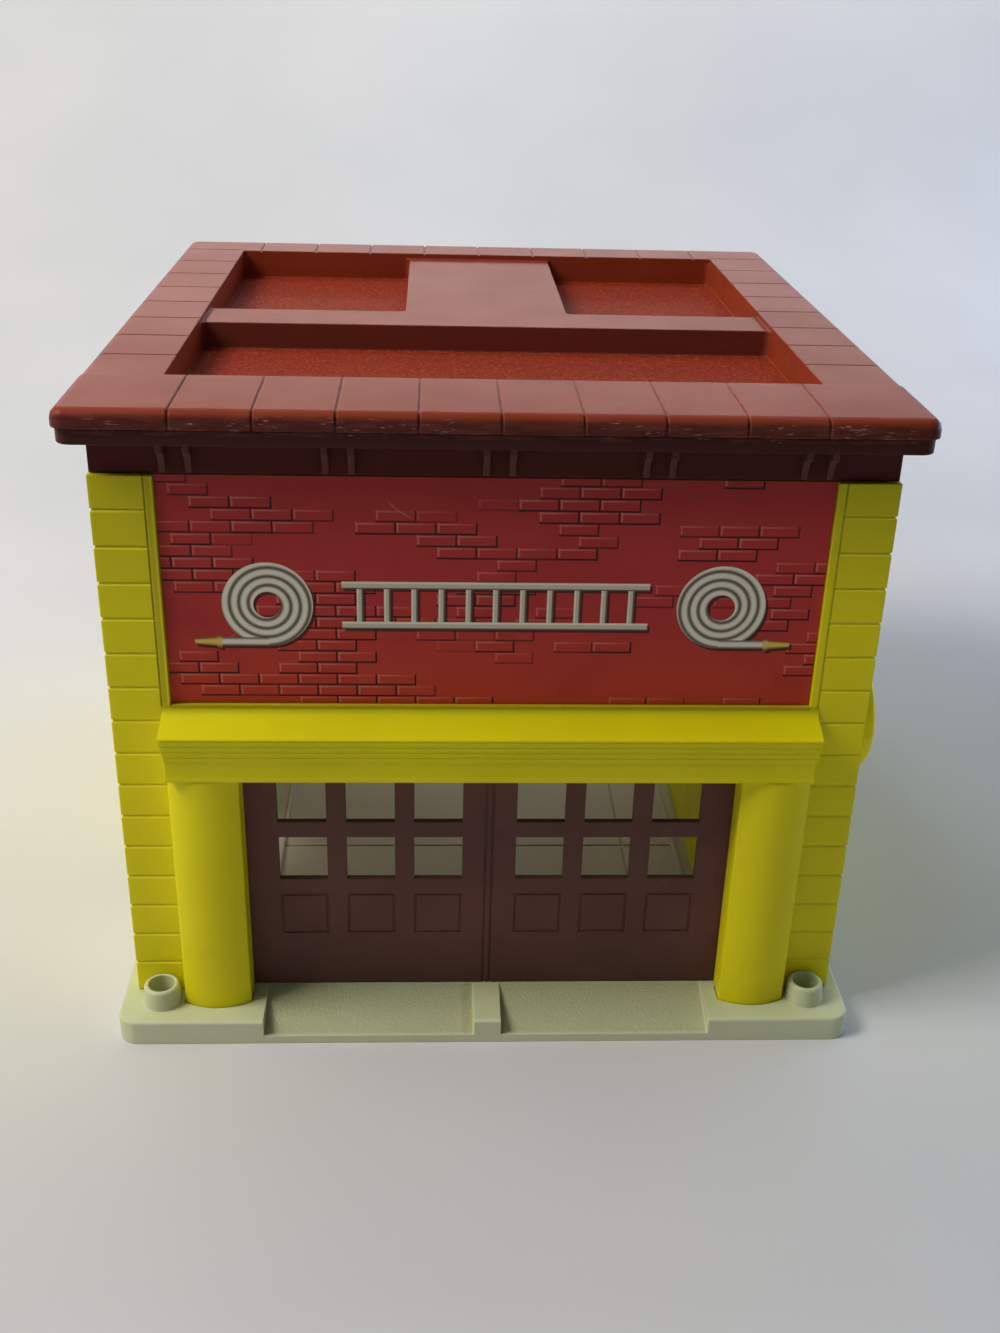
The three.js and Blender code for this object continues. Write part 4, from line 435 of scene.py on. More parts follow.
sheet = bmesh.new()
stack_rings(sheet, [canopy_ring(out, up) for out, up in canopy_profile()])
soffit_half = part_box("garage_door")[1][0] + SOFFIT_SIDE
stack_rings(sheet, [
    level_ring(soffit_half, CANOPY_BACK, canopy_high[1], height)
    for height in (canopy_low[2], canopy_low[2] + SOFFIT_THICKNESS)
])
bmesh.ops.recalc_face_normals(sheet, faces=sheet.faces)
for face in sheet.faces:
    face.smooth = True
canopy = piece_from(sheet, "canopy_reeded")
moulded_edge(canopy, CANOPY_EDGE_MM, CANOPY_SHARP_DEGREES, CANOPY_FLATNESS)
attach(canopy, body_of_node["canopy"])
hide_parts("canopy")

# %% [markdown]
# ## Parts that every moulded finish shares
#
# A moulded groove has no crisp corner either. There are hundreds of them, too many for more
# faces, so the finish rounds them: a Bevel node gives a softened surface direction, which the
# relief starts from. The edge mask compares that direction with the plain one; they differ
# only near an edge.

# %% Places and directions
def place_of(finish):
    return finish.node("ShaderNodeTexCoord", output="Object")


def axes_of(finish, place):
    return finish.node("ShaderNodeSeparateXYZ", {}, {0: place}, output=("X", "Y", "Z"))


def size_of(value):
    """The number without its sign."""
    return maths("ABSOLUTE", value)


def plain_normal(finish):
    """The surface direction as it is."""
    return finish.node("ShaderNodeNewGeometry", output="Normal")


def soft_normal(finish, radius_mm):
    """The surface direction as if every edge were rounded by this radius."""
    return finish.node("ShaderNodeBevel", {"samples": 6}, {"Radius": radius_mm * MM})


def near_edges(finish, soft):
    """1 close to an edge: there the softened direction and the plain one differ."""
    likeness = finish.node(
        "ShaderNodeVectorMath", {"operation": "DOT_PRODUCT"}, {0: soft, 1: plain_normal(finish)},
        output="Value",
    )
    return rise(1.0 - likeness, 0.01, 0.12)


# %% [markdown]
# A toy that has been played with has scratches of two kinds. They could be drawn one by one,
# but noise makes as many as are wanted: a hairline is where a smooth noise crosses its middle
# value, and a scuff is the top of a noise that has been stretched so that it runs long one
# way. Fine relief comes from a Bump node, which tilts the light's bounce and moves no face.

# %% Scratches and relief
def hairlines(finish, place, size_mm, width, seed, run):
    """Long thin lines that run along the axis with the smallest number in `run`."""
    wander = spread(finish, stretched(finish, place, *run), size_mm, 0.0, seed)
    line = 1.0 - rise(size_of(wander - 0.5), 0.0, width)
    broken = rise(spread(finish, place, size_mm * 0.5, 1.0, seed + 7.0), 0.60, 0.66)
    return line * broken


def scuffs(finish, place, size_mm, seed, run):
    """Short streaks, size_mm across, in scattered patches."""
    streak = rise(spread(finish, stretched(finish, place, *run), size_mm, 2.0, seed), 0.60, 0.70)
    patch = rise(spread(finish, place, size_mm * 30.0, 1.0, seed + 5.0), 0.48, 0.62)
    return streak * patch


def bumped(finish, height, depth_mm, soft=None):
    """Relief from a height of 0 to 1, on top of a softened direction if one is given."""
    sockets = {"Strength": 1.0, "Distance": depth_mm * MM, "Height": height}
    if soft is not None:
        sockets["Normal"] = soft
    return finish.node("ShaderNodeBump", {}, sockets)


# %% [markdown]
# ## Yellow moulded walls
#
# The walls are dyed all through, so colour varies little: a slow drift where the melt cooled,
# a slightly duller tone low down where hands and floors have rubbed it, and pale scuffs on
# the edges. Painted shade darkens the piers under the eaves, a band along the foot of the
# sign, and the step to its left. Under each joint of the corner piers the next stone's top
# edge is worn round, and a painted highlight draws a pale line on it. All this could be
# painted on an image, but an image blurs from close by. Masks made from heights and widths
# of the toy don't, so those places are named first.

# %% Places on the yellow walls
GRIME_FROM, GRIME_TO = 10.0 * MM, 60.0 * MM
# Painted shade: from these heights up the piers darken, for the shadow of the roof's overhang.
EAVES_FROM, EAVES_TO = 150.0 * MM, 205.0 * MM
# Painted shade: a dark band along the foot of the sign, across the front.
SIGN_FOOT_FROM, SIGN_FOOT_TO = 129.0 * MM, 130.6 * MM
SIGN_FOOT_HALF = 109.6 * MM
# Painted shade: the canopy's cove darkens towards the sign, between these heights.
COVE_SHADE_FROM, COVE_SHADE_TO = 127.4 * MM, 130.0 * MM
# Painted shade: the step between the sign and the left pier is darkened, as if in shade.
STEP_FROM = sign_high[0] + (front_high[0] - sign_high[0]) * 0.38
STEP_TO = front_high[0] + 0.4 * MM
STEP_FOOT = 130.2 * MM
STEP_BACK = -125.5 * MM
TOP_JOINT = front_high[2] - 11.0 * MM
COURSE = 12.65 * MM
WORN_FROM, WORN_TO = 0.45 * MM, 1.40 * MM
PIER_TURN = front_low[1] + 19.5 * MM
print("step beside the sign, mm:", round(STEP_FROM / MM, 2), "to", round(STEP_TO / MM, 2))


def worn_stones_and_highlight(x, y, z):
    """On the front of the piers: how far the worn edge has come out, and its painted highlight
    line.
    """
    course = (TOP_JOINT - z) / COURSE
    below = (course - maths("FLOOR", course)) * COURSE
    on_pier = rise(size_of(x), STEP_TO, STEP_TO + 0.2 * MM)
    on_pier = on_pier * (1.0 - rise(y, PIER_TURN, PIER_TURN + 0.2 * MM))
    # painted highlight: a pale line on each stone's top edge, just below the joint
    line = band(below, 0.6 * MM, 1.3 * MM, 0.15 * MM)
    return rise(below, WORN_FROM, WORN_TO) * on_pier, line * on_pier


# %% [markdown]
# Three yellows share one recipe, for the walls, the canopy and the dial. The plastic lets a
# little light in, so its shaded faces glow; a brighter colour would lift the lit faces too,
# so subsurface light does it. The canopy's reeds are round already, so its finish
# (`rounded=False`) keeps their own direction and has painted shade in the cove.

# %% Yellow finish
def yellow_plastic(name, bright, deep, roughness, round_mm, ripple_depth=0.5, rounded=True):
    finish = Finish(name)
    place = place_of(finish)
    x, y, z = axes_of(finish, place)
    drift = spread(finish, place, 60.0, 3.0, 1.0)
    grime = rise(spread(finish, place, 14.0, 4.0, 2.0), 0.45, 0.75)
    grime = grime * (1.0 - rise(z, GRIME_FROM, GRIME_TO))
    soft = soft_normal(finish, round_mm)
    scuffed = near_edges(finish, soft) * rise(spread(finish, place, 5.0, 3.0, 3.0), 0.35, 0.60)
    lines = hairlines(finish, place, 60.0, 0.002, 4.0, (1.0, 1.0, 0.35))
    eaves_shade = rise(z, EAVES_FROM, EAVES_TO)
    # painted shade in the step left of the sign; the right one, which faces the lamp, stays as it
    # is
    step = band(0.0 - x, STEP_FROM, STEP_TO, 0.3 * MM)
    step = step * rise(z, STEP_FOOT, STEP_FOOT + MM)
    step = step * (1.0 - rise(y, STEP_BACK, STEP_BACK + 0.5 * MM))
    worn, painted_highlight_line = worn_stones_and_highlight(x, y, z)
    # painted shade along the foot of the sign
    sign_foot_shade = band(z, SIGN_FOOT_FROM, SIGN_FOOT_TO, 0.2 * MM)
    sign_foot_shade = sign_foot_shade * (1.0 - rise(size_of(x), SIGN_FOOT_HALF, SIGN_FOOT_HALF + 0.4 * MM))

    colour = laid_over(rise(drift, 0.3, 0.7), bright, deep)
    colour = laid_over(grime * 0.14, colour, shade(0.30, 0.26, 0.03))
    # painted shade under the eaves, for the roof overhang's shadow
    colour = laid_over(eaves_shade * 0.80, colour, shade(0.56, 0.49, 0.004))
    # painted shade in the step beside the sign
    colour = laid_over(step * 0.60, colour, shade(0.40, 0.33, 0.006))
    # painted highlight on the top edge of each pier stone
    colour = laid_over(painted_highlight_line * 0.60, colour, shade(0.98, 0.92, 0.05))
    colour = laid_over(sign_foot_shade * 0.75, colour, shade(0.42, 0.34, 0.003))
    if not rounded:
        # painted shade in the canopy's cove under the sign
        cove_shade = rise(z, COVE_SHADE_FROM, COVE_SHADE_TO)
        colour = laid_over(cove_shade * 0.55, colour, shade(0.42, 0.36, 0.003))
    colour = laid_over(scuffed * 0.22, colour, shade(0.95, 0.88, 0.20))
    colour = laid_over(lines * 0.12, colour, shade(0.90, 0.84, 0.25))

    ripple = spread(finish, place, 9.0, 2.0, 5.0)
    skin = spread(finish, place, 0.45, 2.0, 6.0)
    height = ripple * ripple_depth + skin * 0.10 - lines * 0.1 + worn * 2.9
    rough = roughness + ripple * 0.08 + grime * 0.15 + scuffed * 0.1
    return finish.surface(
        colour, rough, bumped(finish, height, 0.12, soft if rounded else None),
        fixed={"IOR": 1.46, "Specular IOR Level": 0.22, "Subsurface Weight": 0.12,
               "Subsurface Radius": (1.0, 0.8, 0.05), "Subsurface Scale": 0.003},
    )


YELLOW, DEEP_YELLOW = shade(0.86, 0.755, 0.004), shade(0.79, 0.69, 0.003)
TRIM_YELLOW, DEEP_TRIM_YELLOW = shade(0.80, 0.715, 0.003), shade(0.74, 0.655, 0.003)
DIAL_YELLOW = shade(0.92, 0.79, 0.004)
wall_finish = yellow_plastic("yellow walls", YELLOW, DEEP_YELLOW, 0.42, 0.7)
trim_finish = yellow_plastic(
    "yellow trim", TRIM_YELLOW, DEEP_TRIM_YELLOW, 0.42, 0.18, ripple_depth=0.15, rounded=False,
)
dial_finish = yellow_plastic("yellow dial", DIAL_YELLOW, YELLOW, 0.36, 0.5)

# %% [markdown]
# ## Grey base
#
# The base is a stiffer, matt plastic. The drive ramps have a fine leathery grain. Sculpting
# it would take millions of faces; noise with its lower half cut off leaves the same
# flat-topped islands between pits. Dirt has settled in a stripe against the kerb between the
# ramps. The rest is smoother, with faint scratches from toy wheels that run front to back.
# The garage floor has browned with handling, most of all just behind the door. The front
# edge is paler, a painted highlight.

# %% Grey finish
RAMP_FROM, RAMP_TO = 5.4 * MM, 81.2 * MM
RAMP_BACK = -128.3 * MM
STAIN_FROM, STAIN_TO = -9.2 * MM, -5.4 * MM
GARAGE_HALF, GARAGE_EDGE = 80.0 * MM, 112.0 * MM
GARAGE_FRONT, GARAGE_BACK = -122.5 * MM, 110.0 * MM
# Painted highlight: the base's front edge, in front of these depths, is paler.
BASE_LIP, BASE_LIP_BACK = -149.9 * MM, -148.5 * MM


def grey_plastic(name, pale, dark, grained):
    finish = Finish(name)
    place = place_of(finish)
    x, y, z = axes_of(finish, place)
    drift = spread(finish, place, 40.0, 4.0, 11.0)
    specks = rise(spread(finish, place, 0.9, 2.0, 12.0), 0.64, 0.74)
    soft = soft_normal(finish, 0.7)
    rubbed = near_edges(finish, soft) * rise(spread(finish, place, 6.0, 3.0, 13.0), 0.36, 0.56)
    tracks = hairlines(finish, place, 40.0, 0.003, 14.0, (1.0, 0.25, 1.0))
    on_ramp = band(size_of(x), RAMP_FROM, RAMP_TO, 0.3 * MM)
    on_ramp = on_ramp * (1.0 - rise(y, RAMP_BACK, RAMP_BACK + 0.6 * MM)) * grained
    on_ramp = on_ramp * rise(axes_of(finish, plain_normal(finish))[2], 0.3, 0.6)
    pits = rise(spread(finish, place, 0.75, 2.0, 16.0), 0.40, 0.64)
    skin = spread(finish, place, 0.6, 2.0, 15.0)
    dirt = rise(spread(finish, place, 8.0, 3.0, 17.0), 0.30, 0.55)
    stain = band(x, STAIN_FROM, STAIN_TO, 0.8 * MM) * dirt * on_ramp
    garage = 1.0 - rise(size_of(x), GARAGE_HALF, GARAGE_EDGE)
    garage = garage * rise(y, GARAGE_FRONT, GARAGE_FRONT + 3.0 * MM)
    garage = garage * (1.0 - rise(y, 0.0, GARAGE_BACK))
    # painted highlight: a paler front edge, standing in for light from the front
    lip = 1.0 - rise(y, BASE_LIP, BASE_LIP_BACK)

    colour = laid_over(rise(drift, 0.3, 0.7), pale, dark)
    colour = laid_over(specks * 0.15, colour, shade(0.22, 0.22, 0.13))
    ramp_tone = on_ramp * (0.22 + (1.0 - pits) * 0.08)
    colour = laid_over(ramp_tone, colour, shade(0.24, 0.25, 0.13))
    colour = laid_over(stain * 0.35, colour, shade(0.30, 0.22, 0.10))
    browning = garage * (0.75 + drift * 0.4) * grained
    colour = laid_over(browning, colour, shade(0.54, 0.46, 0.37))
    colour = laid_over(lip * 0.45 * grained, colour, shade(0.76, 0.79, 0.55))
    colour = laid_over(rubbed * 0.4, colour, shade(0.74, 0.76, 0.52))
    colour = laid_over(tracks * 0.2, colour, shade(0.50, 0.50, 0.36))

    height = on_ramp * pits * 0.55 + skin * 0.3 - tracks * 0.2
    rough = 0.50 + drift * 0.1 + on_ramp * 0.06
    return finish.surface(
        colour, rough, bumped(finish, height, 0.20, soft),
        fixed={"IOR": 1.46, "Specular IOR Level": 0.35},
    )


base_finish = grey_plastic(
    "sage grey base", shade(0.60, 0.63, 0.37), shade(0.55, 0.58, 0.33), grained=1.0,
)
deck_finish = grey_plastic(
    "sage grey deck", shade(0.60, 0.60, 0.45), shade(0.55, 0.55, 0.40), grained=0.0,
)

# %% [markdown]
# ## Maroon roof
#
# The roof is one moulding with several kinds of surface: sunk trays, coping stones, an outer
# lip, and brackets on the skirt below. Each could have a material of its own, but the borders
# would have to follow faces. Masks made from height and from the distance to the rim tell
# them apart just as well, and can fade.

# %% Places on the roof
TRAY_BELOW = 222.2 * MM
STONE_ABOVE = 226.2 * MM
RIM_SIDE, RIM_FRONT, RIM_BACK = 136.5 * MM, -137.6 * MM, 151.8 * MM
# Painted shade: below these heights the outer lip of the coping is darkened.
LIP_LOW, LIP_HIGH = 231.8 * MM, 234.2 * MM
SCUFF_FRONT, SCUFF_BACK = -139.0 * MM, -137.5 * MM
SCUFF_LOW, SCUFF_HIGH = 232.5 * MM, 233.5 * MM
# Painted shade: tray walls that face the front, between these depths, are darkened.
TRAY_WALL_FRONT, TRAY_WALL_BACK = -136.5 * MM, 25.0 * MM
# Painted highlight: the brackets in front of the skirt are paler.
BRACKET_FRONT, BRACKET_BACK = -130.0 * MM, -129.6 * MM
BRACKET_TOP = 222.6 * MM
FADE = 0.4 * MM


def outside_rim(x, y):
    """1 on the outer faces of the coping and the skirt."""
    past = maths("MAXIMUM", size_of(x) - RIM_SIDE, RIM_FRONT - y)
    return maths("MAXIMUM", rise(past, 0.0, FADE), rise(y, RIM_BACK, RIM_BACK + FADE))


print("coping lip, mm:", round(LIP_LOW / MM, 1), "to", round(LIP_HIGH / MM, 1))

# %% [markdown]
# The coping stones are smooth, with a satin skin that turns pale against the light. Their
# outer lip below the top edge is darker, a painted shade, with short whitish scuffs where the
# toy has been carried. The tray floors are redder and pebbled; their pits are darker, grain
# tone and painted shade, and the tops of the pebbling lighter, grain tone and a painted
# highlight. Painted shade darkens the tray's wall that faces the front, and a painted
# highlight makes the brackets on the skirt paler. The skirt is the same plastic, painted
# darker as shade: one recipe serves both, so their wear is of one kind.

# %% Maroon finish
def maroon_plastic(name, brown, deep, tray_red, lip_shade_brown, worn, gloss, grained):
    finish = Finish(name)
    place = place_of(finish)
    x, y, z = axes_of(finish, place)
    drift = spread(finish, place, 35.0, 4.0, 21.0)
    in_tray = 1.0 - rise(z, TRAY_BELOW, TRAY_BELOW + FADE)
    stone = rise(z, STONE_ABOVE, STONE_ABOVE + 0.8 * MM)
    outside = outside_rim(x, y)
    # painted shade on the outer lip, whose face gets little light
    shaded_lip = outside * (1.0 - rise(z, LIP_LOW, LIP_HIGH))
    soft = soft_normal(finish, 0.8)
    chipped = near_edges(finish, soft) * rise(spread(finish, place, 3.5, 4.0, 22.0), 0.38, 0.60)
    front_lip = (1.0 - rise(y, SCUFF_FRONT, SCUFF_BACK)) * stone
    front_lip = front_lip * (1.0 - rise(z, SCUFF_LOW, SCUFF_HIGH))
    drag = scuffs(finish, place, 0.42, 23.0, (0.10, 1.0, 0.9)) * front_lip
    lines = hairlines(finish, place, 45.0, 0.002, 24.0, (0.4, 1.0, 1.0))
    grain = spread(finish, place, 1.3, 2.0, 25.0)
    pebbled = in_tray * grained
    streaks = spread(finish, stretched(finish, place, 0.14, 0.4, 1.0), 1.8, 3.0, 27.0)
    smear = rise(streaks, 0.42, 0.66) * stone
    # painted shade on the tray walls that face the front
    front_wall_shade = rise(0.0 - axes_of(finish, plain_normal(finish))[1], 0.5, 0.8) * (1.0 - outside)
    front_wall_shade = front_wall_shade * band(y, TRAY_WALL_FRONT, TRAY_WALL_BACK, 0.5 * MM) * grained
    # painted highlight: the brackets are paler, and their edges get more of the pale edge colour
    bracket_highlight = 1.0 - rise(y, BRACKET_FRONT, BRACKET_BACK)
    bracket_highlight = bracket_highlight * (1.0 - rise(z, BRACKET_TOP, BRACKET_TOP + FADE))

    colour = laid_over(rise(drift, 0.3, 0.7), brown, deep)
    colour = laid_over(in_tray, colour, tray_red)
    colour = laid_over(smear * (grained * 0.07), colour, shade(0.37, 0.090, 0.046))
    smeared_shaded_lip = laid_over(smear * 0.40, lip_shade_brown, shade(0.200, 0.058, 0.042))
    colour = laid_over(shaded_lip, colour, smeared_shaded_lip)
    colour = laid_over(front_wall_shade * 0.75, colour, shade(0.130, 0.034, 0.024))
    colour = laid_over(bracket_highlight, colour, shade(0.105, 0.041, 0.033))
    # grain tone and painted shade: the pits of the pebbling are darker
    shaded_hollows = pebbled * (1.0 - rise(grain, 0.38, 0.55))
    colour = laid_over(shaded_hollows * 0.45, colour, shade(0.16, 0.022, 0.012))
    # grain tone and painted highlight: the tops of the pebbling are lighter
    lit_pebbles = pebbled * rise(grain, 0.54, 0.68)
    colour = laid_over(lit_pebbles * 0.50, colour, shade(0.56, 0.100, 0.042))
    colour = laid_over(chipped * (0.35 + bracket_highlight * 0.4), colour, worn)
    colour = laid_over(drag * 0.6, colour, shade(0.62, 0.42, 0.36))
    colour = laid_over(lines * 0.12, colour, worn)

    ripple = spread(finish, place, 11.0, 2.0, 26.0)
    height = ripple * 0.4 + grain * (0.12 + pebbled * 2.6) - lines * 0.1
    rough = 0.33 + drift * 0.10 + in_tray * 0.30 + drag * 0.2
    return finish.surface(
        colour, rough, bumped(finish, height, 0.14, soft),
        fixed={"IOR": 1.46, "Specular IOR Level": gloss},
    )


roof_finish = maroon_plastic(
    "maroon roof", shade(0.280, 0.043, 0.016), shade(0.240, 0.035, 0.012),
    tray_red=shade(0.305, 0.036, 0.014), lip_shade_brown=shade(0.094, 0.021, 0.015),
    worn=shade(0.52, 0.15, 0.075), gloss=0.10, grained=1.0,
)
# The skirt is the roof's plastic with its colours darkened: painted shade for a face under the
# coping.
shaded_skirt_finish = maroon_plastic(
    "maroon skirt painted shade", shade(0.068, 0.016, 0.011), shade(0.054, 0.012, 0.009),
    tray_red=shade(0.080, 0.017, 0.012), lip_shade_brown=shade(0.062, 0.016, 0.012),
    worn=shade(0.24, 0.090, 0.070), gloss=0.12, grained=0.0,
)

# %% [markdown]
# ## Door
#
# The door is a browner, darker moulding with a satin face and fine rub marks that run up and
# down, the way it is pushed. Its foot is darker, a painted shade. It could share the roof's
# recipe, but nearly every mask there is about a place on the roof, so a short recipe of its
# own is easier to read.

# %% Door finish
# Painted shade: the door darkens towards its foot, below these heights.
DOOR_SHADE_FROM, DOOR_SHADE_TO = 12.0 * MM, 45.0 * MM


def door_plastic(name, brown, deep):
    finish = Finish(name)
    place = place_of(finish)
    x, y, z = axes_of(finish, place)
    drift = spread(finish, place, 30.0, 3.0, 31.0)
    soft = soft_normal(finish, 0.5)
    rubbed = near_edges(finish, soft) * rise(spread(finish, place, 4.0, 3.0, 32.0), 0.40, 0.6)
    marks = hairlines(finish, place, 40.0, 0.002, 33.0, (1.0, 1.0, 0.25))
    # painted shade at the foot of the door
    door_foot_shade = 1.0 - rise(z, DOOR_SHADE_FROM, DOOR_SHADE_TO)
    colour = laid_over(rise(drift, 0.3, 0.7), brown, deep)
    colour = laid_over(door_foot_shade * 0.45, colour, shade(0.055, 0.022, 0.017))
    colour = laid_over(rubbed * 0.3, colour, shade(0.26, 0.13, 0.10))
    colour = laid_over(marks * 0.12, colour, shade(0.20, 0.11, 0.09))
    skin = spread(finish, place, 0.6, 2.0, 34.0)
    ripple = spread(finish, place, 12.0, 2.0, 35.0)
    height = ripple * 0.4 + skin * 0.18 - marks * 0.1
    return finish.surface(
        colour, 0.46 + drift * 0.1, bumped(finish, height, 0.14, soft),
        fixed={"IOR": 1.46, "Specular IOR Level": 0.3},
    )


door_finish = door_plastic(
    "maroon door", shade(0.145, 0.052, 0.040), shade(0.120, 0.042, 0.032),
)

# %% [markdown]
# ## Printed sign
#
# The sign is a printed sheet. Its red ground carries patches of brickwork in a running bond.
# A Brick Texture node would draw every brick, so the bricks are made from sums: each is a
# cell, found by rounding a position down, and a slow noise read at the cell's own number
# decides whether that brick is drawn. A drawn brick has a dark joint below it and to its
# right, and a light edge above and to its left that fades along it.

# %% Brickwork
BRICK_LENGTH = 13.2 * MM
BRICK_HEIGHT = 4.2 * MM
JOINT_FROM, JOINT_TO = 0.50 * MM, 0.75 * MM
NOISE_ALONG, NOISE_UP, NOISE_LAYER = 0.36, 0.24, 3.7
PRINT_SOFT = 0.10 * MM


def brickwork(finish, across, up):
    """Masks of the dark joints and of the light edges."""
    course = maths("FLOOR", up / BRICK_HEIGHT)
    shifted = across / BRICK_LENGTH + size_of(maths("MODULO", course, 2.0)) * 0.5
    number = maths("FLOOR", shifted)
    along = (shifted - number) * BRICK_LENGTH
    above = up - course * BRICK_HEIGHT
    cell = finish.node(
        "ShaderNodeCombineXYZ", {},
        {0: number * NOISE_ALONG, 1: course * NOISE_UP, 2: NOISE_LAYER},
    )
    chance = finish.node("ShaderNodeTexNoise", {}, {"Vector": cell, "Scale": 1.0, "Detail": 1.0})
    drawn = rise(chance, 0.535, 0.545)
    faint = 0.75 + 0.25 * rise(chance, 0.55, 0.60)
    joint = maths(
        "MAXIMUM",
        1.0 - rise(above, JOINT_FROM, JOINT_TO),
        rise(along, BRICK_LENGTH - JOINT_TO, BRICK_LENGTH - JOINT_FROM),
    )
    light = maths(
        "MAXIMUM",
        band(above, BRICK_HEIGHT - 0.80 * MM, BRICK_HEIGHT - 0.20 * MM, PRINT_SOFT),
        band(along, 0.25 * MM, 0.85 * MM, PRINT_SOFT),
    )
    light = light * rise(above, 0.8 * MM, 1.1 * MM)
    light = light * (1.0 - rise(along, 1.0 * MM, BRICK_LENGTH) * 0.75)
    return joint * drawn * faint, light * drawn * faint


# %% [markdown]
# The ornament is a ladder between two coiled hoses. A shape drawn by distance needs no image:
# a rail is a band of height, and a rung is the part near a whole number of steps. Each rail
# and rung has a light edge above or to its left and a dark one opposite, like a round bar.

# %% Ladder
RAIL_HEIGHT = 7.2 * MM
RUNG_STEP = 9.0 * MM
RUNGS_EACH_SIDE = 5
RAIL_HALF = 1.25 * MM
RUNG_HALF = 1.0 * MM
LADDER_HALF = 51.0 * MM


def ladder(across, up):
    """Masks of the whole ladder, its light edges and its dark edges."""
    above = size_of(up) - RAIL_HEIGHT
    rails = 1.0 - rise(size_of(above), RAIL_HALF, RAIL_HALF + PRINT_SOFT)
    rails = rails * band(across, -LADDER_HALF, LADDER_HALF, PRINT_SOFT)
    step = across / RUNG_STEP
    beside = (step - maths("ROUND", step)) * RUNG_STEP
    reach = (RUNGS_EACH_SIDE + 0.5) * RUNG_STEP
    within = band(up, -RAIL_HEIGHT, RAIL_HEIGHT, PRINT_SOFT)
    within = within * band(across, -reach, reach, PRINT_SOFT)
    rungs = (1.0 - rise(size_of(beside), RUNG_HALF, RUNG_HALF + PRINT_SOFT)) * within
    signed = above * maths("SIGN", up)
    rail_light = rails * rise(signed, 0.45 * MM, 0.65 * MM)
    rail_dark = rails * (1.0 - rise(signed, -0.95 * MM, -0.75 * MM))
    rung_light = rungs * (1.0 - rise(beside, -0.55 * MM, -0.35 * MM))
    rung_dark = rungs * rise(beside, 0.45 * MM, 0.65 * MM)
    inside = 1.0 - rails
    return (
        maths("MAXIMUM", rails, rungs),
        maths("MAXIMUM", rail_light, rung_light * inside),
        maths("MAXIMUM", rail_dark, rung_dark * inside),
    )


# %% [markdown]
# Distance from the middle of a coil, less a share of the angle round it, grows by one with
# each turn, so its fraction runs across the hose and shades it round. The tail leaves the
# coil along its lowest turn and ends in a brass nozzle with a ring where the hose goes in.

# %% Hoses
HOSE_WIDTH = 3.1 * MM
HOSE_HALF = HOSE_WIDTH / 2.0
COIL_RADIUS = 15.0 * MM
COIL_HOLE = 4.6 * MM
TAIL_LENGTH = 15.5 * MM
NOZZLE_LENGTH = 9.0 * MM
NOZZLE_HALF = 2.0 * MM
NOZZLE_TAPER = 0.11
RING_FROM, RING_TO = 1.6 * MM, 1.8 * MM
RING_SWELL = 0.3
ROUND_OFF = (0.94, 1.04)


def hose(across, up):
    """Masks of the hose and of its nozzle, each with how round it is there, 0 at its edge."""
    reach = maths("SQRT", across * across + up * up)
    wound = reach / HOSE_WIDTH - maths("ARCTAN2", up, across) / (2.0 * math.pi)
    fraction = wound - maths("FLOOR", wound)
    coil = band(reach, COIL_HOLE, COIL_RADIUS, PRINT_SOFT)
    coil_round = 1.0 - size_of(fraction * 2.0 - 1.0)
    beside = size_of(up + (COIL_RADIUS - HOSE_HALF)) / HOSE_HALF
    tail = (1.0 - rise(beside, *ROUND_OFF)) * band(across, 0.0, TAIL_LENGTH, PRINT_SOFT)
    hose_round = coil_round + tail * (1.0 - beside - coil_round)
    along = across - TAIL_LENGTH
    ring = 1.0 - rise(along, RING_FROM, RING_TO)
    width = (NOZZLE_HALF - along * NOZZLE_TAPER) / HOSE_HALF + ring * RING_SWELL
    nozzle = 1.0 - rise(beside / width, *ROUND_OFF)
    nozzle = nozzle * band(along, 0.0, NOZZLE_LENGTH, PRINT_SOFT)
    return maths("MAXIMUM", coil, tail), hose_round, nozzle, 1.0 - beside / width


# %% [markdown]
# The colours go on in the order a printer would lay them. First comes the ground, a red that
# is warmer low down, with a painted shade near the top for the roof's shadow, and then the
# bricks. The ground could be one flat red, but old ink never dries evenly.

# %% Sign ground and bricks
RED = shade(0.450, 0.034, 0.028)
LOW_RED = shade(0.520, 0.046, 0.016)
SIGN_MIDDLE_Z = 170.7 * MM

sign = Finish("printed sign")
place = place_of(sign)
x, y, z = axes_of(sign, place)
up = z - SIGN_MIDDLE_Z
blotch = spread(sign, place, 25.0, 4.0, 41.0)
low_down = 1.0 - rise(up + blotch * 0.01, -40.0 * MM, 5.0 * MM)
colour = laid_over(low_down, RED, LOW_RED)
colour = laid_over(rise(blotch, 0.45, 0.75) * 0.35, colour, shade(0.30, 0.018, 0.016))
# painted shade: the top of the sign darkens, for the shadow of the roof's overhang
overhang_shade = rise(up, 20.0 * MM, 40.0 * MM)
colour = laid_over(overhang_shade * 0.30, colour, shade(0.24, 0.014, 0.014))
joints, lights = brickwork(sign, x, up)
colour = laid_over(lights * 0.60, colour, shade(0.70, 0.20, 0.14))
colour = laid_over(joints, colour, shade(0.030, 0.006, 0.006))
print("sign so far:", len(sign.tree.nodes), "nodes")

# %% [markdown]
# The ornament lies over a printed shadow. That shadow could be a shape of its own, but it is
# the ornament's own mask, read a little to one side and higher, so it always fits.

# %% Sign ornament
CREAM = shade(0.58, 0.53, 0.38)
PALE_CREAM = shade(0.78, 0.73, 0.58)
CREAM_SHADE = shade(0.13, 0.10, 0.065)
BRASS = shade(0.78, 0.52, 0.100)
DARK_BRASS = shade(0.14, 0.075, 0.014)
SHADOW = shade(0.022, 0.008, 0.007)
ORNAMENT_DROP = 4.0 * MM
COILS_X = 75.5 * MM
CAST = 0.9 * MM

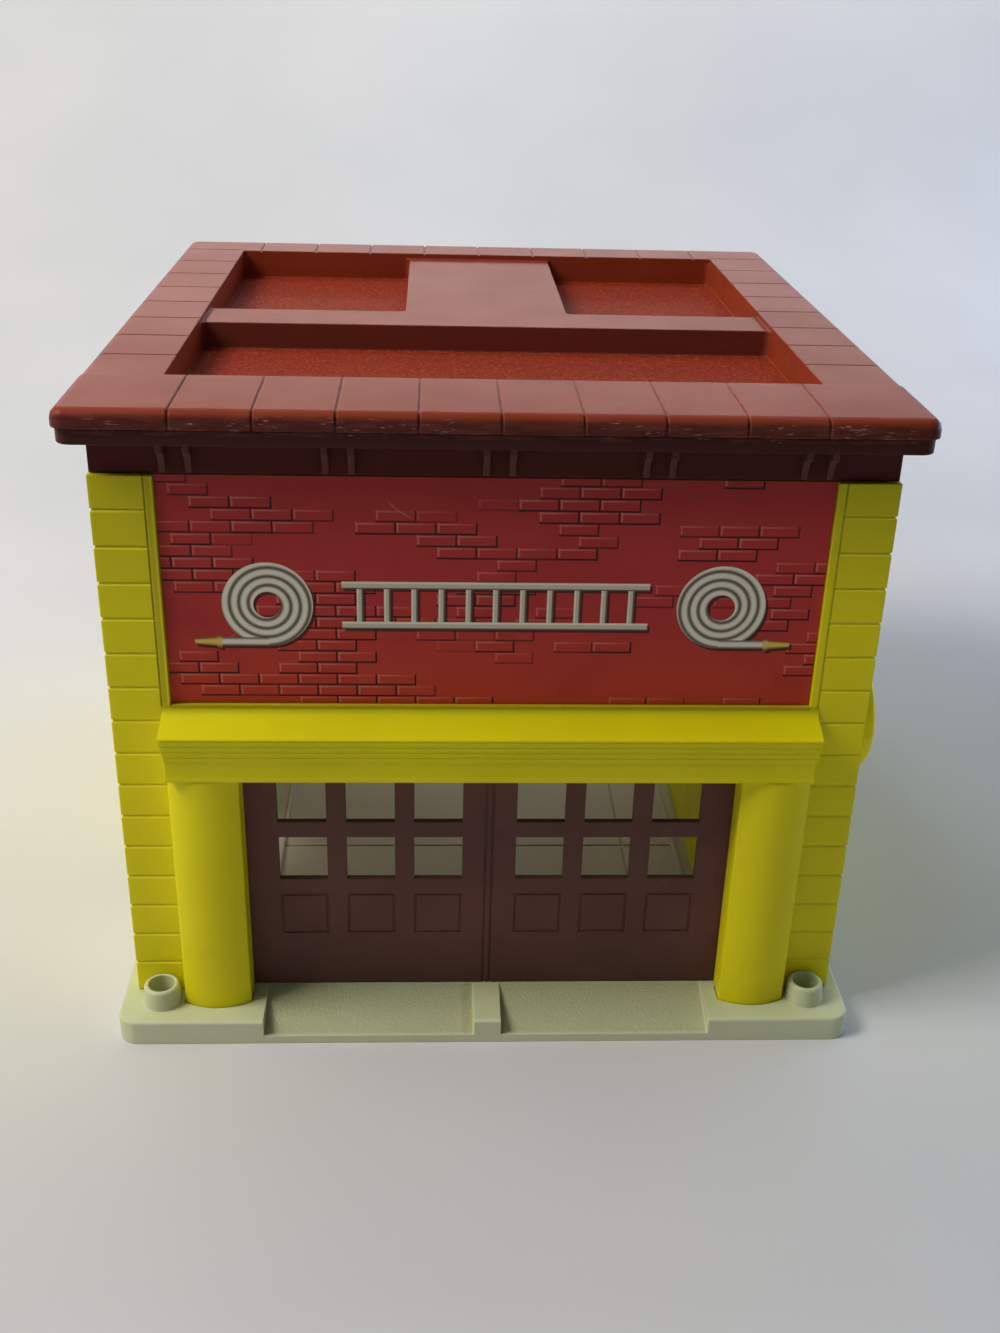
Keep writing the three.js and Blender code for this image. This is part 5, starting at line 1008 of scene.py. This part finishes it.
level = up + ORNAMENT_DROP
cast_ladder = ladder(x - CAST, level + CAST)[0]
colour = laid_over(cast_ladder * 0.85, colour, SHADOW)
face, light_edge, dark_edge = ladder(x, level)
colour = laid_over(face, colour, CREAM)
colour = laid_over(light_edge, colour, PALE_CREAM)
colour = laid_over(dark_edge, colour, CREAM_SHADE)
away = size_of(x) - COILS_X
cast_hose, _, cast_nozzle, _ = hose(away - maths("SIGN", x) * CAST, level + CAST)
colour = laid_over(maths("MAXIMUM", cast_hose, cast_nozzle) * 0.85, colour, SHADOW)
hose_mask, hose_round, nozzle_mask, nozzle_round = hose(away, level)
hose_colour = laid_over(rise(hose_round, 0.05, 0.75), CREAM_SHADE, PALE_CREAM)
colour = laid_over(hose_mask, colour, hose_colour)
nozzle_colour = laid_over(rise(nozzle_round, 0.0, 0.8), DARK_BRASS, BRASS)
colour = laid_over(nozzle_mask, colour, nozzle_colour)
print("sign with its ornament:", len(sign.tree.nodes), "nodes")

# %% [markdown]
# Print is nearly flat, so relief stays out of the ornament. The sheet itself waves slightly
# where it is glued down, has a fine tooth, and carries a few pale scrapes across the ink.

# %% Sign surface
scrape = hairlines(sign, place, 40.0, 0.003, 42.0, (0.5, 1.0, 1.0))
colour = laid_over(scrape * 0.25, colour, shade(0.62, 0.45, 0.40))
sheet_wave = spread(sign, place, 30.0, 1.0, 43.0)
tooth = spread(sign, place, 0.4, 2.0, 44.0)
sign_finish = sign.surface(
    colour, 0.46 + blotch * 0.08,
    bumped(sign, sheet_wave * 0.5 + tooth * 0.05 - scrape * 0.1, 0.10),
    fixed={"IOR": 1.45, "Specular IOR Level": 0.25},
)

# %% [markdown]
# ## Zinc-plated steel
#
# The rod, screws and bell parts are bright zinc plate, a little blotchy, with fine lines
# left by turning. A plain grey metal would look like plastic where it has nothing to mirror,
# so roughness varies with the blotches, and noise that is short along the rod makes lines.

# %% Steel finish
steel = Finish("zinc plate")
place = place_of(steel)
blotch = spread(steel, place, 3.0, 4.0, 51.0)
turning = spread(steel, stretched(steel, place, 1.0, 0.15, 0.15), 0.15, 2.0, 52.0)
colour = laid_over(rise(blotch, 0.35, 0.7), shade(0.66, 0.67, 0.68), shade(0.52, 0.53, 0.55))
steel_finish = steel.surface(
    colour, 0.24 + blotch * 0.16, bumped(steel, turning, 0.02), metallic=1.0,
)

# %% [markdown]
# ## Dressing
#
# Which piece is of which plastic could be listed by hand, but the record already says it, as
# a material slot for each imported node. Most pieces take their slot's finish; the upper deck
# and the canopy take their own tone of it, and the skirt a darker copy of the roof's that is
# painted shade.

# %% Give every piece its finish
finish_of_slot = {
    "base_grey": base_finish,
    "wall_yellow": wall_finish,
    "roof_maroon": roof_finish,
    "door_maroon": door_finish,
    "dial_yellow": dial_finish,
    "printed_sheet": sign_finish,
    "steel": steel_finish,
}
slot_of_node = {entry["node"]: entry["material_slot"] for entry in frame["record"]["subparts"]}


def dress(piece, material):
    piece.data.materials.clear()
    piece.data.materials.append(material)


for name, node in nodes.items():
    dress(softened.get(name, node), finish_of_slot[slot_of_node[name]])
dress(softened["upper_floor"], deck_finish)
# the skirt takes the darker copy, painted shade
dress(softened["roof_skirt"], shaded_skirt_finish)
dress(canopy, trim_finish)
for slip in slips:
    dress(slip, wall_finish)
print("dressed:", len(nodes) + len(slips), "pieces")

# %% [markdown]
# ## Floor and light
#
# The toy stands on a pale cloth that curves up behind it, as in a photographer's light tent.
# A floor and a wall would meet in a line behind the toy, so the sweep is one sheet: flat in
# front, then a quarter turn, then a wall. It stands far enough back for a camera to walk
# round the toy.

# %% Sweep
FLOOR_HALF = 20.0
SWEEP_START = 0.75
SWEEP_RADIUS = 0.75
SWEEP_STEPS = 24
WALL_HEIGHT = 3.2
profile = [(-FLOOR_HALF, 0.0), (SWEEP_START, 0.0)]
for step in range(1, SWEEP_STEPS + 1):
    turn = math.pi / 2 * step / SWEEP_STEPS
    out, up = SWEEP_RADIUS * math.sin(turn), SWEEP_RADIUS * (1.0 - math.cos(turn))
    profile.append((SWEEP_START + out, up))
profile.append((SWEEP_START + SWEEP_RADIUS, WALL_HEIGHT))
sheet = bmesh.new()
rows = [[sheet.verts.new((side * FLOOR_HALF, y, z)) for side in (-1, 1)] for y, z in profile]
for low_row, high_row in zip(rows, rows[1:]):
    face = sheet.faces.new((low_row[0], low_row[1], high_row[1], high_row[0]))
    face.smooth = True
floor = piece_from(sheet, "sweep")
print("sweep:", len(floor.data.polygons), "faces")

# %% [markdown]
# The cloth is matt and almost white. A plain white would look like paper, so a broad noise
# gives it soft folds, too shallow to cast a shadow, and a finer one varies its sheen.

# %% Cloth finish
cloth = Finish("pale cloth")
place = place_of(cloth)
fold = spread(cloth, place, 260.0, 2.0, 61.0)
weave = spread(cloth, place, 3.0, 2.0, 62.0)
colour = laid_over(rise(fold, 0.3, 0.7), shade(0.69, 0.685, 0.675), shade(0.64, 0.64, 0.635))
dress(floor, cloth.surface(
    colour, 0.85 + weave * 0.1, bumped(cloth, fold, 8.0), fixed={"Specular IOR Level": 0.15},
))

# %% [markdown]
# The light is that of a room by a window. The main lamp stands high on the left, like the
# window, and its soft shadows fill the left ends of the roof trays and fall to the right. Two
# lamps turned on the curved cloth make the backdrop pale, and that backdrop is what the roof
# reflects. A lamp behind, out of the picture, shines in through the open back. Cool fills
# soften the shadows; the lowest lights the cloth on the right but not the roof trays. One
# sun and a bright sky would be simpler, but they can't give each side its own tone.

# %% Lights
LAMPS = (
    # name, place, where it points, size, watts, colour
    ("window lamp", (-1.07, -0.36, 1.34), (0.0, 0.0, 0.1), (0.6, 0.6), 18.0, (1.0, 0.97, 0.92)),
    ("top lamp", (-0.42, -0.45, 1.85), (0.0, 0.0, 0.1), (0.6, 0.6), 2.0, (1.0, 0.99, 0.97)),
    ("left lamp", (-1.35, 0.10, 0.75), (0.0, 0.1, 0.1), (1.0, 0.8), 5.0, (1.0, 0.91, 0.78)),
    ("left wall lamp", (-0.60, 0.75, 1.60), (-0.60, 1.5, 0.1), (0.8, 0.5), 4.7,
     (1.0, 0.99, 0.96)),
    ("right wall lamp", (0.60, 0.75, 1.60), (0.60, 1.5, 0.1), (0.8, 0.5), 3.7,
     (0.82, 0.95, 1.20)),
    ("back lamp", (0.0, 1.38, 0.55), (0.0, 0.1, 0.10), (1.8, 0.2), 3.1, (1.0, 0.95, 0.88)),
    ("front fill", (0.0, -1.70, 0.45), (0.0, 0.0, 0.05), (1.6, 0.5), 1.1, (0.92, 0.97, 1.06)),
    ("right fill", (1.50, 0.50, 0.80), (0.1, 0.2, 0.1), (1.0, 0.8), 1.6, (0.72, 0.86, 1.15)),
    ("low right fill", (1.30, 0.42, 0.26), (0.36, 0.14, 0.0), (1.2, 0.3), 6.2,
     (0.72, 0.92, 1.36)),
)


def soft_lamp(name, place, aim, size, watts, colour):
    data = bpy.data.lights.new(name, "AREA")
    data.shape = "RECTANGLE"
    data.size, data.size_y = size
    data.energy = watts
    data.color = colour
    lamp = bpy.data.objects.new(name, data)
    bpy.context.scene.collection.objects.link(lamp)
    lamp.location = place
    lamp.rotation_euler = (Vector(aim) - Vector(place)).to_track_quat("-Z", "Y").to_euler()
    lamp.visible_camera = False


for lamp in LAMPS:
    soft_lamp(*lamp)
print("lamps:", {name: watts for name, _, _, _, watts, _ in LAMPS})

# %% [markdown]
# A room is never black where no lamp reaches, so a faint cool sky is left. The Standard view
# is chosen because the softer ones would turn this yellow pale.

# %% Sky
SKY_COLOUR = shade(0.62, 0.80, 1.10)
SKY_STRENGTH = 0.05

world = bpy.data.worlds.new("sky")
bpy.context.scene.world = world
world.use_nodes = True
sky = world.node_tree.nodes["Background"]
sky.inputs["Color"].default_value = SKY_COLOUR
sky.inputs["Strength"].default_value = SKY_STRENGTH
bpy.context.scene.view_settings.view_transform = "Standard"
print("sky strength:", SKY_STRENGTH)
